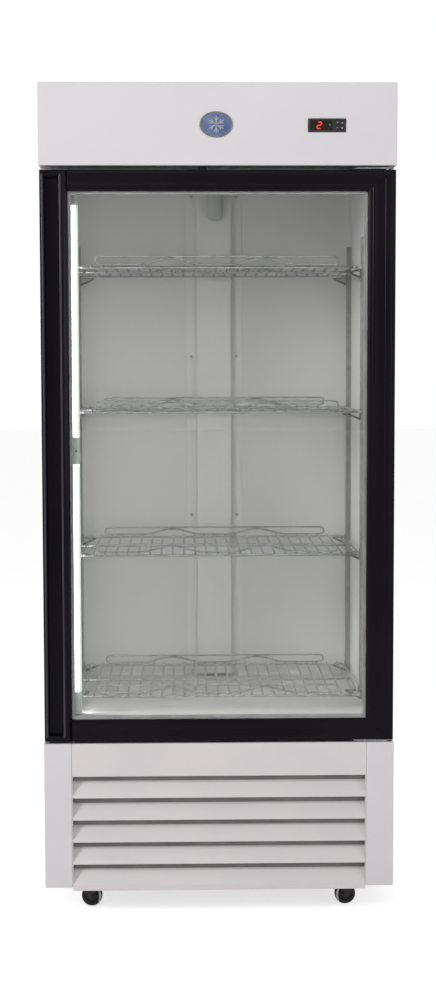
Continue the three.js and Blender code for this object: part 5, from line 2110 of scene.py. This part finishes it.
@dataclass
class Casters:
    """Four swivel casters with plates, ball races, forks and wheels."""

    plate: float = mm(2.2)

    def build(self) -> None:
        """Builds the four casters."""
        for row in ("front", "rear"):
            for side in ("left", "right"):
                self.build_one(f"{row}_{side}")

    def build_one(self, place: str) -> None:
        """Builds one caster.

        Args:
            place: Row and side, such as front_left.
        """
        fork_span = Span.of(f"caster_fork_{place}")
        wheel_span = Span.of(f"caster_wheel_{place}")
        fork = Bench.refined(f"caster_fork_{place}", f"fork_{place}", mm(0.5), 2, 40, 30)
        Bench.dress(fork, DARK_ENAMEL, f"swivel_{place}", f"caster_fork_{place}")
        self.build_highlight_guard(place, fork_span, wheel_span)
        joint = next(
            j for j in frame["joints"] if j["child"] == f"swivel_{place}"
        )
        pivot = Vector(joint["pos_m"])
        ceiling = Span.of("base_pan").lo.z
        half = mm(24)
        plate = Bench.block(
            f"caster_plate_{place}",
            Vector((pivot.x - half, pivot.y - half, ceiling - mm(0.2) - self.plate)),
            Vector((pivot.x + half, pivot.y + half, ceiling - mm(0.2))),
        )
        Bench.bevel_where(plate, lambda a, b: abs(a.z - b.z) > mm(1), mm(5), 4)
        Bench.dress(plate, ZINC, "cabinet")
        race_high = ceiling - mm(0.2) - self.plate
        race_low = fork_span.hi.z + mm(0.2)
        race = Bench.rod(
            f"ball_race_{place}", Vector((pivot.x, pivot.y, (race_low + race_high) / 2)),
            Axis.Z, mm(17), race_high - race_low, 32,
        )
        Bench.soften(race, mm(1), 3)
        Bench.dress(race, ZINC, "cabinet")
        self.build_wheel(place, wheel_span)

    def build_highlight_guard(self, place: str, fork: Span, wheel: Span) -> None:
        """Bright zinc crescent on the fork's inner side, shaped as the highlight on the wheel's side: a painted
        highlight.

        Args:
            place: Row and side.
            fork: Box of the fork.
            wheel: Box of the wheel.
        """
        inward = -1 if wheel.centre.x > 0 else 1
        radius = wheel.size.z / 2
        steps = 12
        section = []
        for share, shrink in ((1.0, 0.94), (-1.0, 0.70)):
            for index in range(steps + 1):
                turn = share * (index / steps * 2 - 1) * math.radians(52)
                swell = shrink if share > 0 else shrink + 0.2 * abs(index / steps * 2 - 1) ** 2
                section.append(
                    (
                        wheel.centre.x + inward * radius * swell * math.cos(turn),
                        wheel.centre.z + mm(2) + radius * swell * math.sin(turn),
                    )
                )
        front = min(fork.lo.y, wheel.lo.y - mm(1.6))
        # The crescent's shape and brightness paint the highlight seen on the wheel's side.
        guard = Bench.bar(f"wheel_highlight_guard_{place}", section, Axis.Y, front, front + mm(1.2))
        Bench.soften(guard, mm(0.2))
        Bench.dress(guard, ZINC, f"swivel_{place}")
        level = wheel.centre.z + mm(2)
        reach = wheel.centre.x + inward * radius * 0.74
        arm = [
            (wheel.centre.x, level - mm(4)), (reach, level - mm(2.4)),
            (reach, level + mm(2.4)), (wheel.centre.x, level + mm(4)),
        ]
        strap = Bench.bar(f"guard_strap_{place}", arm, Axis.Y, front + mm(0.2), front + mm(1.1))
        Bench.soften(strap, mm(0.2))
        Bench.dress(strap, BLACK_PLASTIC, f"swivel_{place}")

    def build_wheel(self, place: str, span: Span) -> None:
        """Tyre with a rounded tread and a ribbed hub.

        Args:
            place: Row and side.
            span: Box of the wheel.
        """
        body = f"wheel_{place}"
        radius, half = span.size.z / 2, span.size.y / 2
        bore = mm(4.6)
        rim = radius * 0.7
        tyre = self.turned(
            f"tyre_{place}", span.centre,
            [
                (rim, -half + mm(1)), (radius - mm(6), -half), (radius - mm(2.5), -half + mm(1.2)),
                (radius - mm(0.6), -half + mm(4)), (radius, -half + mm(8)), (radius, half - mm(8)),
                (radius - mm(0.6), half - mm(4)), (radius - mm(2.5), half - mm(1.2)),
                (radius - mm(6), half), (rim, half - mm(1)),
            ],
        )
        Bench.dress(tyre, TYRE, body, f"caster_wheel_{place}")
        hub = self.turned(
            f"wheel_hub_{place}", span.centre,
            [
                (bore, -half), (bore + mm(3.5), -half), (bore + mm(4), -half + mm(3)),
                (rim - mm(3.5), -half + mm(3.5)), (rim - mm(2.5), -half + mm(1.2)),
                (rim - mm(0.2), -half + mm(1.2)), (rim - mm(0.2), half - mm(1.2)),
                (rim - mm(2.5), half - mm(1.2)), (rim - mm(3.5), half - mm(3.5)),
                (bore + mm(4), half - mm(3)), (bore + mm(3.5), half), (bore, half),
            ],
        )
        Bench.dress(hub, BLACK_PLASTIC, body)

    @staticmethod
    def turned(name: str, centre: Vector, profile: Sequence[Point2]) -> Piece:
        """A ring turned about a line along Y.

        Args:
            name: Piece name.
            centre: Middle of the ring.
            profile: Closed outline as (radius, distance along the axis).

        Returns:
            The ring.
        """
        Bench.clear()
        bpy.ops.mesh.primitive_circle_add(
            vertices=len(profile), radius=1, fill_type="NOTHING", location=(0, 0, 0)
        )
        ring = Bench.named(name)
        for vertex, (radius, along) in zip(ring.data.vertices, profile):
            vertex.co = centre + Vector((radius, along, 0))
        with Bench.editing(ring):
            bpy.ops.mesh.select_all(action="SELECT")
            bpy.ops.mesh.spin(
                steps=40, angle=2 * math.pi, center=centre, axis=(0, 1, 0), use_auto_merge=True
            )
        Bench.tidy(ring, mm(0.01))
        bpy.ops.object.shade_smooth_by_angle(angle=math.radians(35))
        return ring


# ---------------------------------------------------------------- studio
@dataclass
class Studio:
    """Floor, light and camera, which aren't part of the refrigerator."""

    eye: tuple[float, float, float] = (-0.0837, -4.3995, 1.355)
    pitch: float = 4.442
    yaw: float = 1.157
    roll: float = -0.125
    lens: float = 61.87
    surroundings: float = 0.40
    floor_lift: float = 0.72

    def build(self) -> None:
        """Sets up the studio."""
        self.build_floor()
        self.build_light()
        self.build_camera()

    def build_floor(self) -> None:
        """A plain pale floor under the casters."""
        Bench.clear()
        bpy.ops.mesh.primitive_plane_add(size=60, location=(0, 0, 0))
        floor = Bench.named("studio_floor")
        surface = STUDIO_FLOOR.material()
        floor.data.materials.append(surface)
        tree = surface.node_tree
        path = tree.nodes.new("ShaderNodeLightPath")
        share = tree.nodes.new("ShaderNodeMath")
        share.operation = "MULTIPLY"
        share.inputs[1].default_value = self.floor_lift
        tree.links.new(path.outputs["Is Camera Ray"], share.inputs[0])
        tree.links.new(
            share.outputs["Value"], tree.nodes["Principled BSDF"].inputs["Emission Strength"]
        )

    def build_light(self) -> None:
        """Even white surroundings and a few wide soft lamps."""
        world = bpy.data.worlds.new("studio surroundings")
        bpy.context.scene.world = world
        world.use_nodes = True
        tree = world.node_tree
        seen = tree.nodes["Background"]
        seen.inputs["Color"].default_value = (1, 1, 1, 1)
        seen.inputs["Strength"].default_value = 1.02
        around = tree.nodes.new("ShaderNodeBackground")
        around.inputs["Strength"].default_value = self.surroundings
        path = tree.nodes.new("ShaderNodeLightPath")
        mix = tree.nodes.new("ShaderNodeMixShader")
        tree.links.new(path.outputs["Is Camera Ray"], mix.inputs["Fac"])
        tree.links.new(around.outputs["Background"], mix.inputs[1])
        tree.links.new(seen.outputs["Background"], mix.inputs[2])
        tree.links.new(mix.outputs["Shader"], tree.nodes["World Output"].inputs["Surface"])
        bpy.context.scene.view_settings.view_transform = "Standard"
        lamps = (
            ("key_panel", (-3.6, -3.4, 2.5), (76, 0, -49), (1.1, 1.1), 102.0),
            ("fill_panel", (3.3, -3.6, 1.9), (82, 0, 43), (2.4, 2.4), 49.0),
            ("top_panel", (0.0, -3.6, 3.6), (52, 0, 0), (2.2, 0.8), 24.0),
        )
        for name, place, turn, size, power in lamps:
            self.build_lamp(name, place, turn, size, power)
        tube_low, tube_high = Span.of("lamp_tube_lower"), Span.of("lamp_tube_upper")
        gap = mm(16)
        middle = (tube_low.centre + tube_high.centre) / 2 + Vector((gap, gap, 0))
        height = tube_high.hi.z - tube_low.lo.z
        glow = self.build_lamp("tube_glow", middle, (90, 0, -42), (mm(20), height), 0.9)
        glow.visible_glossy = False
        glow.visible_transmission = False

    @staticmethod
    def build_lamp(
        name: str, place: Sequence[float], turn: Colour, size: Point2, power: float
    ) -> bpy.types.Object:
        """One soft lamp, which the camera doesn't see.

        Args:
            name: Its name.
            place: Where it hangs.
            turn: Its angles in degrees.
            size: Width and height of the lamp.
            power: Watts.

        Returns:
            The lamp.
        """
        data = bpy.data.lights.new(name, "AREA")
        data.shape = "RECTANGLE"
        data.size, data.size_y = size
        data.energy = power
        lamp = bpy.data.objects.new(name, data)
        lamp.location = place
        lamp.rotation_euler = Euler([math.radians(angle) for angle in turn])
        lamp.visible_camera = False
        bpy.context.scene.collection.objects.link(lamp)
        return lamp

    def build_camera(self) -> None:
        """The camera at its fitted place."""
        data = bpy.data.cameras.new("camera")
        data.lens = self.lens
        data.sensor_width = 36.0
        data.sensor_fit = "AUTO"
        data.clip_end = 200
        camera = bpy.data.objects.new("camera", data)
        pitch, yaw, roll = (math.radians(a) for a in (self.pitch, self.yaw, self.roll))
        ahead = Vector(
            (math.sin(yaw) * math.cos(pitch), math.cos(yaw) * math.cos(pitch), -math.sin(pitch))
        )
        right = Vector((math.cos(yaw), -math.sin(yaw), 0))
        up = right.cross(ahead)
        tilted = math.cos(roll) * right + math.sin(roll) * up
        upright = math.cos(roll) * up - math.sin(roll) * right
        axes = Matrix((tilted, upright, -ahead)).transposed().to_4x4()
        camera.matrix_world = Matrix.Translation(self.eye) @ axes
        bpy.context.scene.collection.objects.link(camera)
        bpy.context.scene.camera = camera


def main() -> None:
    """Builds the whole refrigerator and its studio."""
    logging.basicConfig(level=logging.INFO, format="%(message)s", force=True)
    assemblies = (
        Cabinet(), Badge(), Control(), Base(), Door(), Hinges(),
        Fittings(), Shelves(), Cooling(), Casters(), Studio(),
    )
    for assembly in assemblies:
        assembly.build()
        LOG.info("%s done", type(assembly).__name__)
    Bench.clear()
    bpy.context.view_layer.update()


if __name__ == "__main__":
    main()
